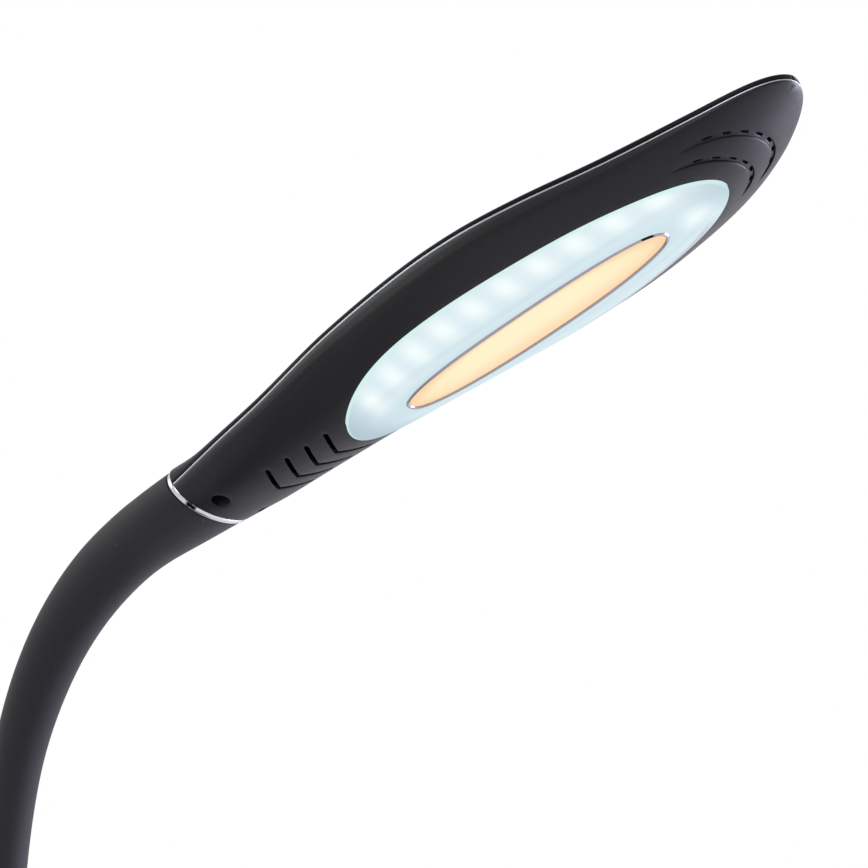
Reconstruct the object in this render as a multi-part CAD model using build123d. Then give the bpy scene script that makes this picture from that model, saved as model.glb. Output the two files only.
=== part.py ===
from build123d import *
import math
import os

# Gooseneck LED desk lamp: a round weighted base with three push buttons, a bendable
# steel-cored neck in a soft sleeve, and a leaf-shaped head that lights downwards.
# Millimetres, +Z up. The origin is the centre of the plane that the feet stand on,
# and the head points along +X, so the lamp is symmetric about the XZ plane.

# ---- driving dimensions: base ------------------------------------------------
BASE_DIAMETER = 176.0
BASE_HEIGHT = 24.0
COVER_WALL = 2.5
COVER_EDGE_RADIUS = 8.0
PAN_THICKNESS = 2.5
PAN_CLEARANCE = 0.1
FOOT_DIAMETER = 16.0
FOOT_HEIGHT = 2.0
FOOT_RECESS = 0.5
FOOT_INSET = 16.0
WEIGHT_INSET = 6.5
WEIGHT_TO_BOARD = 1.9
BASE_SCREW_INSET = 28.0
BASE_SCREW_ANGLE = 66.0
SCREW_RADIUS = 1.5
SCREW_HEAD_RADIUS = 3.0
SCREW_HEAD_HEIGHT = 1.5
SCREW_CLEARANCE = 0.3
SCREW_FIT = 0.1
BOSS_RADIUS = 4.0
BOSS_GRIP = 8.0
BOSS_END_GAP = 1.0
CROSS_LENGTH_RATIO = 1.3
CROSS_WIDTH_RATIO = 0.3

# ---- driving dimensions: controls --------------------------------------------
BUTTON_INSET = 48.0
BUTTON_PITCH = 24.0
POWER_BUTTON_RADIUS = 8.0
SIDE_BUTTON_RADIUS = 6.5
BUTTON_PROUD = 0.9
BUTTON_EDGE_RADIUS = 0.6
BUTTON_DISH_RATIO = 3.0
BUTTON_DISH_DEPTH = 0.4
BUTTON_TRAVEL = 1.0
BUTTON_CLEARANCE = 0.25
BUTTON_FLANGE = 1.3
BUTTON_FLANGE_THICKNESS = 1.2
BUTTON_REST_GAP = 0.1
STEM_RADIUS = 2.0
PLUNGER_RADIUS = 1.7
PLUNGER_REACH = 1.6
PLUNGER_MARGIN = 0.2
SWITCH_SIDE = 6.2
SWITCH_HEIGHT = 3.5
RUNNING_CLEARANCE = 0.08
BOARD_THICKNESS = 1.6
BOARD_LENGTH = 44.0
BOARD_SIDE_MARGIN = 11.0
BOARD_TOP_DEPTH = 8.0
CONNECTOR_LENGTH = 7.0
CONNECTOR_WIDTH = 6.6
CONNECTOR_HEIGHT = 5.0
JACK_LENGTH = 14.0
JACK_WIDTH = 9.0
JACK_HEIGHT = 11.0
JACK_SETBACK = 1.0
JACK_LIFT = 0.7
JACK_NOSE_RADIUS = 4.4
JACK_NOSE_RECESS = 0.3
JACK_BORE_RADIUS = 3.2
JACK_BORE_DEPTH = 9.5
JACK_PIN_RADIUS = 1.0
JACK_PIN_RECESS = 1.5
JACK_FIT = 0.1
JACK_ROOM = 1.0
WIRE_RADIUS = 1.1
WIRE_BEND_RADIUS = 2.6
WIRE_LIFT = 0.6
WIRE_STRAIGHT = 5.0
WIRE_DETOUR = 6.0
WIRE_RUN_IN = 8.0

# ---- driving dimensions: neck ------------------------------------------------
NECK_INSET = 36.0
NECK_RISE = 100.0
# each bend above the straight rise: radius, and turn towards the head in degrees
NECK_BENDS = ((290.0, 14.0), (139.0, 18.0), (114.0, 25.0), (116.0, 13.5))
NECK_END_RUN = 28.0
NECK_RADIUS = 9.8
CORE_RADIUS = 5.5
CORE_BORE_RADIUS = 3.0
LEAD_RADIUS = 2.2
LEAD_LIFT = 0.1
LEAD_BOARD_GAP = 0.3
LEAD_CLIMB = 10.0
LEAD_RUN_IN = 10.0
NECK_JOINTS = 7
FIRST_JOINT_RISE = 26.0
LAST_JOINT_FROM_RING = 62.0
JOINT_GAP = 0.3
BALL_RATIO = 1.25
BALL_SEAM_TURN = 45.0
SECTION_SPACING = 9.0
ROOT_RING_WIDTH = 3.5
ROOT_RING_HEIGHT = 5.0
ROOT_RING_EDGE_RADIUS = 2.1
SOCKET_WALL = 3.0
SOCKET_FLANGE_RADIUS = 17.0
SOCKET_FLANGE_THICKNESS = 2.5
SOCKET_DEPTH = 4.5
SOCKET_SCREW_ANGLE = 60.0
SOCKET_SCREW_BITE = 1.5
# how much of its growth from the plain neck to the ring the sleeve has, in half height
# and half width, at distances back from the ring
FLARE_HEIGHTS = ((-10.0, 1.09), (0.0, 1.0), (15.0, 0.9), (30.0, 0.84), (60.0, 0.85),
                 (105.0, 0.4), (150.0, 0.0), (190.0, 0.0))
FLARE_WIDTHS = ((-10.0, 1.03), (0.0, 1.0), (15.0, 0.88), (30.0, 0.66), (45.0, 0.42),
                (60.0, 0.33), (105.0, 0.17), (150.0, 0.0), (190.0, 0.0))

# ---- driving dimensions: ring and fitting between neck and head ---------------
RING_THICKNESS = 2.4
RING_SLANT = 21.0
RING_HALF_WIDTH = 19.5
RING_HALF_HEIGHT = 14.4
RING_DEPTH = 3.0
RING_PROUD = 0.2
FITTING_RADIUS = 8.5
FITTING_LENGTH = 26.0
CORE_GRIP = 15.6
TONGUE_START = 4.0
TONGUE_LENGTH = 22.0
TONGUE_HALF_WIDTH = 14.0
TONGUE_TOP = 6.0
TONGUE_BOTTOM = -4.0
TONGUE_EDGE_RADIUS = 2.0

# ---- driving dimensions: head ------------------------------------------------
DIFFUSER_START = 74.2
DIFFUSER_LENGTH = 176.2
NOSE_LENGTH = 38.6
HEAD_WALL = 1.8
SEAM_THICKNESS = 0.8
SEAM_DEPTH = 3.0
TOP_SKIRT = 1.0
CROWN_SHARPNESS = 8.0
CROWN_LEAST = 0.4
TIP_SHARPNESS = 5.1
NOSE_FLAT = 0.05
# at shares of the head's length: height of the seam, height of the underside, and the
# half width that the rounding of the tip then closes
SEAM_LINE = ((0.0, 0.8), (0.1, 2.3), (0.2, 3.6), (0.35, 7.6), (0.5, 7.9),
             (0.69, 6.2), (0.81, 5.6), (0.91, 8.0), (1.0, 13.4))
UNDERSIDE_LINE = ((0.0, -13.5), (0.1, -13.2), (0.3, -13.5), (0.42, -13.9), (0.57, -12.7),
                  (0.71, -10.7), (0.8, -7.9), (0.9, -1.3), (0.95, 5.1), (1.0, 12.6))
HALF_WIDTH_LINE = ((0.0, RING_HALF_WIDTH - 0.3), (0.15, 27.8), (0.35, 37.5), (0.6, 48.6),
                   (0.8, 44.3), (1.0, 37.3))
# rise of the top shell above its skirt, and height of the upright flank under the seam
CROWN_LINE = ((0.0, 10.2), (0.07, 6.1), (0.2, 5.2), (1.0, 5.1))
FLANK_LINE = ((0.0, 2.8), (0.2, 3.4), (0.5, 5.3), (0.8, 3.0), (1.0, 0.4))
# how far round its ellipse the underside's curve goes: 1 is a whole half ellipse, and less
# is a flatter dome that meets the flank in a crease
DOME_LINE = ((0.0, 0.97), (0.12, 0.94), (0.3, 0.25), (0.5, 0.25), (1.0, 0.25))
# shares of the head's length at which its sections stand before they close on the tip
SECTION_SHARES = (-0.04, 0.0, 0.05, 0.11, 0.18, 0.26, 0.35, 0.43, 0.52, 0.6, 0.69, 0.76, 0.815)
TIP_SECTIONS = 8
SECTION_LEAST_STEP = 0.7
CAVITY_SETBACK = 18.0
CAVITY_RISE = 2.0
DIFFUSER_HALF_WIDTH = 32.4
DIFFUSER_PROUD = 0.5
DIFFUSER_FLANGE = 2.5
DIFFUSER_FLANGE_THICKNESS = 1.2
DIFFUSER_FLANGE_LAP = 1.0
DIFFUSER_GAP = 0.1
BEZEL_HALF_LENGTH = 61.8
BEZEL_HALF_WIDTH = 12.7
BEZEL_WIDTH = 1.7
BEZEL_PROUD = 1.0
LENS_PROUD = 0.6
OVAL_FULLNESS = 2.4
OVAL_POINTS = 32
VENT_COUNT = 4
VENT_TO_DIFFUSER = 11.15
VENT_PITCH = 10.05
VENT_ARM_REACH = 11.8
VENT_ARM_SWEEP = 6.6
VENT_WIDTH = 1.8
VENT_TOP = -2.0
# curved vents at the tip: distance beyond the diffuser, radius, angle to either side of
# the middle of the last slot, and number of slots
TIP_VENT_ARCS = ((19.8, 22.4, 54.0, 7), (9.6, 20.0, 49.0, 6))
TIP_SLOT_LENGTH = 3.5
TIP_SLOT_WIDTH = 1.2
TIP_VENT_TOP = 3.0
TIP_GROOVE_WIDTH = 2.0
TIP_GROOVE_DEPTH = 0.7
TIP_GROOVE_LIP = 0.2
TIP_GROOVE_OVERRUN = 27.0
TIP_GROOVE_END = 4.0
NECK_SCREW_X = 14.5
NECK_SCREW_Y = 11.6
NECK_SCREW_HOLE_RADIUS = 3.3
NECK_SCREW_BOSS_WALL = 1.2
NECK_SCREW_FLOOR = 1.5
LED_BOARD_END_INSET = 8.1
LED_BOARD_SIDE_INSET = 4.7
LED_BOARD_TOP = 1.6
HEAT_PLATE_THICKNESS = 1.5
LED_SIDE = 2.8
LED_HEIGHT = 0.8
WHITE_LEDS_PER_SIDE = 10
WHITE_LED_INSET = 3.5
WHITE_LED_END_INSET = 7.65
WARM_LED_COUNT = 8
WARM_LED_END_INSET = 16.3
PLATE_SCREW_END_INSET = 28.0
PLATE_SCREW_SIDE_INSET = 9.5
PLATE_SCREW_GRIP = 4.0

# ---- derived heights and places ----------------------------------------------
BOTTOM = (Align.CENTER, Align.CENTER, Align.MIN)
PAST = 1.0  # how far a cutting solid runs past the face that it cuts
BASE_RADIUS = BASE_DIAMETER / 2
COVER_BOTTOM = FOOT_HEIGHT - FOOT_RECESS
COVER_UNDERSIDE = BASE_HEIGHT - COVER_WALL
PAN_TOP = COVER_BOTTOM + PAN_THICKNESS
BUTTON_X = BASE_RADIUS - BUTTON_INSET
BOARD_TOP = COVER_UNDERSIDE - BOARD_TOP_DEPTH
BOARD_BOTTOM = BOARD_TOP - BOARD_THICKNESS
BOARD_X = BUTTON_X - BOARD_LENGTH / 2
BOARD_WIDTH = 2 * (BUTTON_PITCH + BOARD_SIDE_MARGIN)
WEIGHT_TOP = BOARD_BOTTOM - WEIGHT_TO_BOARD
SWITCH_TOP = BOARD_TOP + SWITCH_HEIGHT
PLUNGER_TOP = SWITCH_TOP + PLUNGER_REACH
FLANGE_TOP = COVER_UNDERSIDE - BUTTON_REST_GAP
FLANGE_BOTTOM = FLANGE_TOP - BUTTON_FLANGE_THICKNESS
JACK_CENTRE_HEIGHT = PAN_TOP + JACK_LIFT + JACK_HEIGHT / 2
JACK_FRONT = -(BASE_RADIUS - COVER_WALL - JACK_SETBACK)
JACK_BACK = JACK_FRONT + JACK_LENGTH
NECK_ROOT_X = -(BASE_RADIUS - NECK_INSET)
SOCKET_RADIUS = CORE_RADIUS + SOCKET_WALL
RING_TILT = math.radians(RING_SLANT)
PITCH = 90.0 - sum(turn for _, turn in NECK_BENDS)
NECK_LENGTH = NECK_RISE + sum(r * math.radians(a) for r, a in NECK_BENDS) + NECK_END_RUN
FLARE_HALF_WIDTH = RING_HALF_WIDTH - RING_PROUD
FLARE_HALF_HEIGHT = (RING_HALF_HEIGHT - RING_PROUD) * math.cos(RING_TILT)
HEAD_LENGTH = DIFFUSER_START + DIFFUSER_LENGTH + NOSE_LENGTH
DIFFUSER_END = DIFFUSER_START + DIFFUSER_LENGTH
DIFFUSER_HALF_LENGTH = DIFFUSER_LENGTH / 2
DIFFUSER_CENTRE = DIFFUSER_START + DIFFUSER_HALF_LENGTH
VENT_START = DIFFUSER_START - VENT_TO_DIFFUSER - (VENT_COUNT - 1) * VENT_PITCH
LED_BOARD_HALF_LENGTH = DIFFUSER_HALF_LENGTH - LED_BOARD_END_INSET
LED_BOARD_HALF_WIDTH = DIFFUSER_HALF_WIDTH - LED_BOARD_SIDE_INSET
LED_BOARD_FACE = LED_BOARD_TOP - BOARD_THICKNESS
HEAT_PLATE_TOP = LED_BOARD_TOP + HEAT_PLATE_THICKNESS
WELL_FLOOR = TONGUE_BOTTOM - NECK_SCREW_FLOOR


def smooth(points, x):
    """Value at x of a soft curve through points of (place, value)."""
    if x <= points[0][0]:
        return points[0][1]
    if x >= points[-1][0]:
        return points[-1][1]
    i = max(k for k, point in enumerate(points[:-1]) if point[0] <= x)
    slopes = []
    for k in (i, i + 1):
        before, after = points[max(k - 1, 0)], points[min(k + 1, len(points) - 1)]
        slopes.append((after[1] - before[1]) / (after[0] - before[0]))
    (x0, y0), (x1, y1) = points[i], points[i + 1]
    span = x1 - x0
    t = (x - x0) / span
    start = y0 * (1 + 2 * t) * (1 - t) ** 2 + y1 * t * t * (3 - 2 * t)
    return start + span * (slopes[0] * t * (1 - t) ** 2 - slopes[1] * t * t * (1 - t))


# ---- neck path ----------------------------------------------------------------
def neck_place(distance):
    """Point and lean from upright, in degrees, at a distance up the neck."""
    x, z, lean = NECK_ROOT_X, BASE_HEIGHT, 0.0
    for radius, turn in ((math.inf, NECK_RISE),) + NECK_BENDS + ((math.inf, math.inf),):
        angle = math.radians(lean)
        if math.isinf(radius):
            run = min(distance, turn)
            x, z = x + run * math.sin(angle), z + run * math.cos(angle)
            arc = turn
        else:
            arc = radius * math.radians(turn)
            swing = min(distance, arc) / radius
            x += radius * (math.cos(angle) - math.cos(angle + swing))
            z += radius * (math.sin(angle + swing) - math.sin(angle))
            lean += math.degrees(swing)
        if distance <= arc:
            return Vector(x, 0, z), lean
        distance -= arc


def neck_plane(distance):
    """Plane square to the neck: its x is the lamp's Y, its normal points up the neck."""
    point, lean = neck_place(distance)
    angle = math.radians(lean)
    return Plane(origin=point, x_dir=(0, 1, 0), z_dir=(math.sin(angle), 0, math.cos(angle)))


def sleeve_half_width(distance):
    grown = smooth(FLARE_WIDTHS, NECK_LENGTH - distance)
    return NECK_RADIUS + grown * (FLARE_HALF_WIDTH - NECK_RADIUS)


def sleeve_half_height(distance):
    grown = smooth(FLARE_HEIGHTS, NECK_LENGTH - distance)
    return NECK_RADIUS + grown * (FLARE_HALF_HEIGHT - NECK_RADIUS)


def neck_tube(start, end, half_width, half_height):
    """Solid along the neck whose section is an ellipse of the given half sizes."""
    steps = max(2, math.ceil((end - start) / SECTION_SPACING))
    places = [start + (end - start) * i / steps for i in range(steps + 1)]
    return loft([neck_plane(d) * Ellipse(half_width(d), half_height(d)) for d in places])


def round_tube(start, end, radius):
    return neck_tube(start, end, lambda d: radius, lambda d: radius)


joint_pitch = (NECK_LENGTH - LAST_JOINT_FROM_RING - FIRST_JOINT_RISE) / (NECK_JOINTS - 1)
joint_distances = [FIRST_JOINT_RISE + i * joint_pitch for i in range(NECK_JOINTS)]
first_joint, last_joint = joint_distances[0], joint_distances[-1]


def ball_radius(distance):
    return BALL_RATIO * sleeve_half_width(distance)


def ball(distance, growth):
    """Ball about a joint, grown by a little, its seam turned away from the tubes' seams."""
    turned = neck_plane(distance) * Rotation(0, 0, BALL_SEAM_TURN)
    return turned * Sphere(ball_radius(distance) + growth)


def cup(distance):
    """What a piece below a joint loses, so that the ball above it can turn."""
    return ball(distance, JOINT_GAP / 2)


def below_ball(distance):
    """What a piece above a joint loses: all below the joint but the ball itself."""
    reach = 4 * ball_radius(distance)
    block = Box(reach, reach, reach, align=(Align.CENTER, Align.CENTER, Align.MAX))
    return neck_plane(distance) * block - ball(distance, -JOINT_GAP / 2)


def neck_piece(make, start_joint, end_joint):
    """One rigid stretch of a neck layer, with a ball at its lower joint and a cup above."""
    shape = make(start_joint - ball_radius(start_joint), end_joint)
    return shape - cup(end_joint) - below_ball(start_joint)


def sleeve_layer(start, end):
    outer = neck_tube(start, end, sleeve_half_width, sleeve_half_height)
    return outer - round_tube(start - PAST, end + PAST, CORE_RADIUS)


def core_layer(start, end):
    bore = round_tube(start - PAST, end + PAST, CORE_BORE_RADIUS)
    return round_tube(start, end, CORE_RADIUS) - bore


def lead_layer(start, end):
    return round_tube(start, end, LEAD_RADIUS)


# ---- helpers for round and boxed pieces -----------------------------------------
def upright(x, y, bottom, top, radius):
    """Upright cylinder between two heights."""
    return Pos(x, y, bottom) * Cylinder(radius, top - bottom, align=BOTTOM)


def forward(x, z, length, radius):
    """Cylinder that starts at x and lies along +X."""
    return Pos(x, 0, z) * Rot(0, 90, 0) * Cylinder(radius, length, align=BOTTOM)


def spread(radius, count, start=0.0):
    """Points on a circle round the base's axis."""
    angles = [math.radians(start + 360.0 * i / count) for i in range(count)]
    return [(radius * math.cos(a), radius * math.sin(a)) for a in angles]


def four_ways(x, y):
    return [(i * x, j * y) for i in (-1, 1) for j in (-1, 1)]


def rounded_disc(radius, bottom, top, edge):
    """Disc whose top edge is rounded."""
    disc = upright(0, 0, bottom, top, radius)
    return fillet(disc.edges().group_by(Axis.Z)[-1], edge)


def screw_up(x, y, head_bottom, tip):
    """Upright screw with its head below, and a cross recess in the head."""
    body = upright(x, y, head_bottom, head_bottom + SCREW_HEAD_HEIGHT, SCREW_HEAD_RADIUS)
    body += upright(x, y, head_bottom, tip, SCREW_RADIUS)
    for angle in (0, 90):
        slot = Box(CROSS_LENGTH_RATIO * SCREW_HEAD_RADIUS, CROSS_WIDTH_RATIO * SCREW_HEAD_RADIUS,
                   SCREW_HEAD_HEIGHT)
        body -= Pos(x, y, head_bottom) * Rot(0, 0, angle) * slot
    return body


parts = {}

# ---- base --------------------------------------------------------------------
base_screw_circle = BASE_RADIUS - BASE_SCREW_INSET
base_screw_lean = math.radians(BASE_SCREW_ANGLE)
base_screws = four_ways(base_screw_circle * math.cos(base_screw_lean),
                        base_screw_circle * math.sin(base_screw_lean))
feet_places = spread(BASE_RADIUS - FOOT_INSET, 4) + [(0.0, 0.0)]
buttons = (("power", 0.0, POWER_BUTTON_RADIUS), ("tone", BUTTON_PITCH, SIDE_BUTTON_RADIUS),
           ("dimmer", -BUTTON_PITCH, SIDE_BUTTON_RADIUS))
board_middle = BOARD_X + BOARD_LENGTH / 2
board_screw_places = [(board_middle + x, y) for x, y in four_ways(
    BOARD_LENGTH / 2 - BOSS_RADIUS, BOARD_WIDTH / 2 - BOSS_RADIUS)]
socket_screw_circle = (SOCKET_RADIUS + SOCKET_FLANGE_RADIUS) / 2
socket_screw_places = [(NECK_ROOT_X + x, y)
                       for x, y in spread(socket_screw_circle, 3, SOCKET_SCREW_ANGLE)]
socket_screw_tip = COVER_UNDERSIDE + SOCKET_SCREW_BITE

cover = rounded_disc(BASE_RADIUS, COVER_BOTTOM, BASE_HEIGHT, COVER_EDGE_RADIUS)
cover -= rounded_disc(BASE_RADIUS - COVER_WALL, COVER_BOTTOM - PAST, COVER_UNDERSIDE,
                      COVER_EDGE_RADIUS - COVER_WALL)
for x, y in base_screws:
    cover += upright(x, y, WEIGHT_TOP, COVER_UNDERSIDE + COVER_WALL / 2, BOSS_RADIUS)
    cover -= upright(x, y, COVER_BOTTOM, WEIGHT_TOP + BOSS_GRIP, SCREW_RADIUS)
for x, y in board_screw_places:
    cover += upright(x, y, BOARD_TOP, COVER_UNDERSIDE + COVER_WALL / 2, BOSS_RADIUS)
    cover -= upright(x, y, BOARD_TOP - PAST, COVER_UNDERSIDE - BOSS_END_GAP, SCREW_RADIUS)
for x, y in socket_screw_places:
    cover -= upright(x, y, COVER_UNDERSIDE - PAST, socket_screw_tip, SCREW_RADIUS)
cover -= upright(NECK_ROOT_X, 0, COVER_BOTTOM, BASE_HEIGHT + PAST, SOCKET_RADIUS)
for _, y, radius in buttons:
    cover -= upright(BUTTON_X, y, COVER_BOTTOM, BASE_HEIGHT + PAST, radius + BUTTON_CLEARANCE)
cover -= forward(-BASE_RADIUS - PAST, JACK_CENTRE_HEIGHT, BASE_RADIUS, JACK_NOSE_RADIUS + JACK_FIT)
parts["base_cover"] = cover

pan = upright(0, 0, COVER_BOTTOM, PAN_TOP, BASE_RADIUS - COVER_WALL - PAN_CLEARANCE)
for x, y in feet_places:
    pan -= upright(x, y, COVER_BOTTOM - PAST, FOOT_HEIGHT, FOOT_DIAMETER / 2)
for x, y in base_screws:
    pan -= upright(x, y, COVER_BOTTOM - PAST, COVER_BOTTOM + SCREW_HEAD_HEIGHT,
                   SCREW_HEAD_RADIUS + SCREW_CLEARANCE)
    pan -= upright(x, y, COVER_BOTTOM, PAN_TOP + PAST, SCREW_RADIUS + SCREW_CLEARANCE)
parts["base_pan"] = pan

weight_height = WEIGHT_TOP - PAN_TOP
weight = upright(0, 0, PAN_TOP, WEIGHT_TOP, BASE_RADIUS - WEIGHT_INSET)
for x, y in base_screws:
    weight -= upright(x, y, PAN_TOP - PAST, WEIGHT_TOP + PAST, SCREW_RADIUS + SCREW_CLEARANCE)
weight -= Pos(JACK_BACK + JACK_ROOM, 0, PAN_TOP - PAST) * Box(
    BASE_RADIUS, JACK_WIDTH + 2 * JACK_ROOM, weight_height + 2 * PAST,
    align=(Align.MAX, Align.CENTER, Align.MIN))
parts["weight_plate"] = weight

parts["rubber_feet"] = Compound([upright(x, y, 0, FOOT_HEIGHT, FOOT_DIAMETER / 2)
                                 for x, y in feet_places])
parts["pan_screws"] = Compound([
    screw_up(x, y, COVER_BOTTOM, WEIGHT_TOP + BOSS_GRIP - BOSS_END_GAP) for x, y in base_screws])

# neck socket: flanged bush under the cover that holds the neck's steel core
socket_bottom = COVER_UNDERSIDE - SOCKET_DEPTH
flange_bottom = COVER_UNDERSIDE - SOCKET_FLANGE_THICKNESS
socket = upright(NECK_ROOT_X, 0, socket_bottom, BASE_HEIGHT, SOCKET_RADIUS)
socket += upright(NECK_ROOT_X, 0, flange_bottom, COVER_UNDERSIDE, SOCKET_FLANGE_RADIUS)
socket -= upright(NECK_ROOT_X, 0, socket_bottom - PAST, BASE_HEIGHT + PAST, CORE_RADIUS)
for x, y in socket_screw_places:
    socket -= upright(x, y, flange_bottom - PAST, COVER_UNDERSIDE + PAST, SCREW_RADIUS + SCREW_FIT)
parts["neck_socket"] = socket
parts["socket_screws"] = Compound([
    screw_up(x, y, flange_bottom - SCREW_HEAD_HEIGHT, socket_screw_tip)
    for x, y in socket_screw_places])

root_ring_top = BASE_HEIGHT + ROOT_RING_HEIGHT
root_ring = upright(NECK_ROOT_X, 0, BASE_HEIGHT, root_ring_top, NECK_RADIUS + ROOT_RING_WIDTH)
root_ring = fillet(root_ring.edges().group_by(Axis.Z)[-1], ROOT_RING_EDGE_RADIUS)
root_ring -= upright(NECK_ROOT_X, 0, 0, root_ring_top + PAST, NECK_RADIUS)
parts["root_ring"] = root_ring

first_joint_height = neck_place(first_joint)[0].Z
parts["root_sleeve"] = sleeve_layer(0, first_joint) - cup(first_joint)
root_core = upright(NECK_ROOT_X, 0, socket_bottom, first_joint_height, CORE_RADIUS)
root_core -= upright(NECK_ROOT_X, 0, 0, first_joint_height + PAST, CORE_BORE_RADIUS)
parts["root_core"] = root_core - cup(first_joint)

lead_low = WEIGHT_TOP + LEAD_RADIUS + LEAD_LIFT
lead_high = BOARD_TOP + LEAD_RADIUS + LEAD_BOARD_GAP
lead_route = FilletPolyline(
    (NECK_ROOT_X, 0, first_joint_height), (NECK_ROOT_X, 0, lead_low),
    (BOARD_X - LEAD_RUN_IN - LEAD_CLIMB, 0, lead_low), (BOARD_X - LEAD_RUN_IN, 0, lead_high),
    (BOARD_X, 0, lead_high), radius=2 * LEAD_RADIUS)
lead_start = Plane(origin=(NECK_ROOT_X, 0, first_joint_height), z_dir=(0, 0, -1))
root_lead = sweep(lead_start * Circle(LEAD_RADIUS), path=lead_route)
parts["root_lead"] = root_lead - cup(first_joint)

# ---- controls ----------------------------------------------------------------
board = Pos(board_middle, 0, BOARD_BOTTOM) * Box(
    BOARD_LENGTH, BOARD_WIDTH, BOARD_THICKNESS, align=BOTTOM)
for x, y in board_screw_places:
    board -= upright(x, y, BOARD_BOTTOM - PAST, BOARD_TOP + PAST, SCREW_RADIUS + SCREW_FIT)
parts["control_board"] = board
parts["board_screws"] = Compound([
    screw_up(x, y, BOARD_BOTTOM - SCREW_HEAD_HEIGHT, COVER_UNDERSIDE - 2 * BOSS_END_GAP)
    for x, y in board_screw_places])

jack_lead_y = BOARD_WIDTH / 4
parts["board_connectors"] = Compound([
    Pos(BOARD_X, y, BOARD_TOP) * Box(CONNECTOR_LENGTH, CONNECTOR_WIDTH, CONNECTOR_HEIGHT,
                                     align=(Align.MIN, Align.CENTER, Align.MIN))
    for y in (0, jack_lead_y)])

plunger_well = SWITCH_TOP - 2 * (BUTTON_TRAVEL + PLUNGER_MARGIN)
switches = []
for name, y, radius in buttons:
    switch = Pos(BUTTON_X, y, BOARD_TOP) * Box(SWITCH_SIDE, SWITCH_SIDE, SWITCH_HEIGHT, align=BOTTOM)
    switches.append(switch - upright(BUTTON_X, y, plunger_well, SWITCH_TOP + PAST,
                                     PLUNGER_RADIUS + RUNNING_CLEARANCE))
    parts[f"{name}_plunger"] = upright(
        BUTTON_X, y, plunger_well + BUTTON_TRAVEL + PLUNGER_MARGIN, PLUNGER_TOP, PLUNGER_RADIUS)
    cap_top = BASE_HEIGHT + BUTTON_PROUD
    dish_radius = BUTTON_DISH_RATIO * radius
    cap = upright(BUTTON_X, y, FLANGE_BOTTOM, cap_top, radius)
    cap = fillet(cap.edges().group_by(Axis.Z)[-1], BUTTON_EDGE_RADIUS)
    cap += upright(BUTTON_X, y, FLANGE_BOTTOM, FLANGE_TOP, radius + BUTTON_FLANGE)
    cap -= Pos(BUTTON_X, y, cap_top + dish_radius - BUTTON_DISH_DEPTH) * Sphere(dish_radius)
    cap += upright(BUTTON_X, y, PLUNGER_TOP, FLANGE_TOP, STEM_RADIUS)
    parts[f"{name}_button"] = cap
parts["tact_switches"] = Compound(switches)

jack = Pos(JACK_FRONT, 0, JACK_CENTRE_HEIGHT - JACK_HEIGHT / 2) * Box(
    JACK_LENGTH, JACK_WIDTH, JACK_HEIGHT, align=(Align.MIN, Align.CENTER, Align.MIN))
nose_start = -BASE_RADIUS + JACK_NOSE_RECESS
nose = forward(nose_start, JACK_CENTRE_HEIGHT, JACK_FRONT - nose_start + JACK_SETBACK,
               JACK_NOSE_RADIUS)
bore = forward(-BASE_RADIUS, JACK_CENTRE_HEIGHT, JACK_BORE_DEPTH, JACK_BORE_RADIUS)
pin = forward(-BASE_RADIUS + JACK_PIN_RECESS, JACK_CENTRE_HEIGHT, JACK_BORE_DEPTH,
              JACK_PIN_RADIUS)
parts["dc_jack"] = jack + nose - bore - pin
parts["jack_pin"] = pin

wire_low = WEIGHT_TOP + WIRE_RADIUS + WIRE_LIFT
wire_high = BOARD_TOP + CONNECTOR_HEIGHT / 2
wire_points = ((JACK_BACK, 0, wire_low), (JACK_BACK + WIRE_STRAIGHT, 0, wire_low),
               (NECK_ROOT_X, SOCKET_FLANGE_RADIUS + WIRE_DETOUR, wire_low),
               ((NECK_ROOT_X + BOARD_X) / 2, jack_lead_y + WIRE_DETOUR / 2, wire_low),
               (BOARD_X - WIRE_RUN_IN, jack_lead_y, wire_high),
               (BOARD_X, jack_lead_y, wire_high))
wire_route = FilletPolyline(*wire_points, radius=WIRE_BEND_RADIUS)
wire_start = Plane(origin=wire_points[0], z_dir=wire_route % 0)
parts["jack_lead"] = sweep(wire_start * Circle(WIRE_RADIUS), path=wire_route)

# ---- neck links ---------------------------------------------------------------
for number in range(1, NECK_JOINTS):
    lower, upper = joint_distances[number - 1], joint_distances[number]
    parts[f"sleeve_{number}"] = neck_piece(sleeve_layer, lower, upper)
    parts[f"core_{number}"] = neck_piece(core_layer, lower, upper)
    parts[f"lead_{number}"] = neck_piece(lead_layer, lower, upper)

# ---- head: shapes in the head's own frame, x along the head from the ring ------
ring_centre = neck_place(NECK_LENGTH)[0]
head_frame = Location((ring_centre.X, 0, ring_centre.Z), (0, -PITCH, 0))
ring_plane = Plane(origin=(0, 0, 0), x_dir=(0, 1, 0),
                   z_dir=(math.cos(RING_TILT), 0, math.sin(RING_TILT)))
deep_below = 3 * min(height for _, height in UNDERSIDE_LINE)
nose_end = HEAD_LENGTH - NOSE_FLAT
cavity_end = HEAD_LENGTH - CAVITY_SETBACK


def half_width(x):
    """Half width of the head at the seam."""
    closing = max(0.0, 1 - (max(x, 0.0) / HEAD_LENGTH) ** TIP_SHARPNESS)
    return smooth(HALF_WIDTH_LINE, x / HEAD_LENGTH) * math.sqrt(closing)


def seam_height(x):
    return smooth(SEAM_LINE, x / HEAD_LENGTH)


def underside_height(x):
    return smooth(UNDERSIDE_LINE, x / HEAD_LENGTH)


def crown_height(x):
    """Rise of the top shell above its skirt."""
    closing = max(0.0, 1 - (max(x, 0.0) / HEAD_LENGTH) ** CROWN_SHARPNESS)
    return smooth(CROWN_LINE, x / HEAD_LENGTH) * math.sqrt(closing) + CROWN_LEAST


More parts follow.
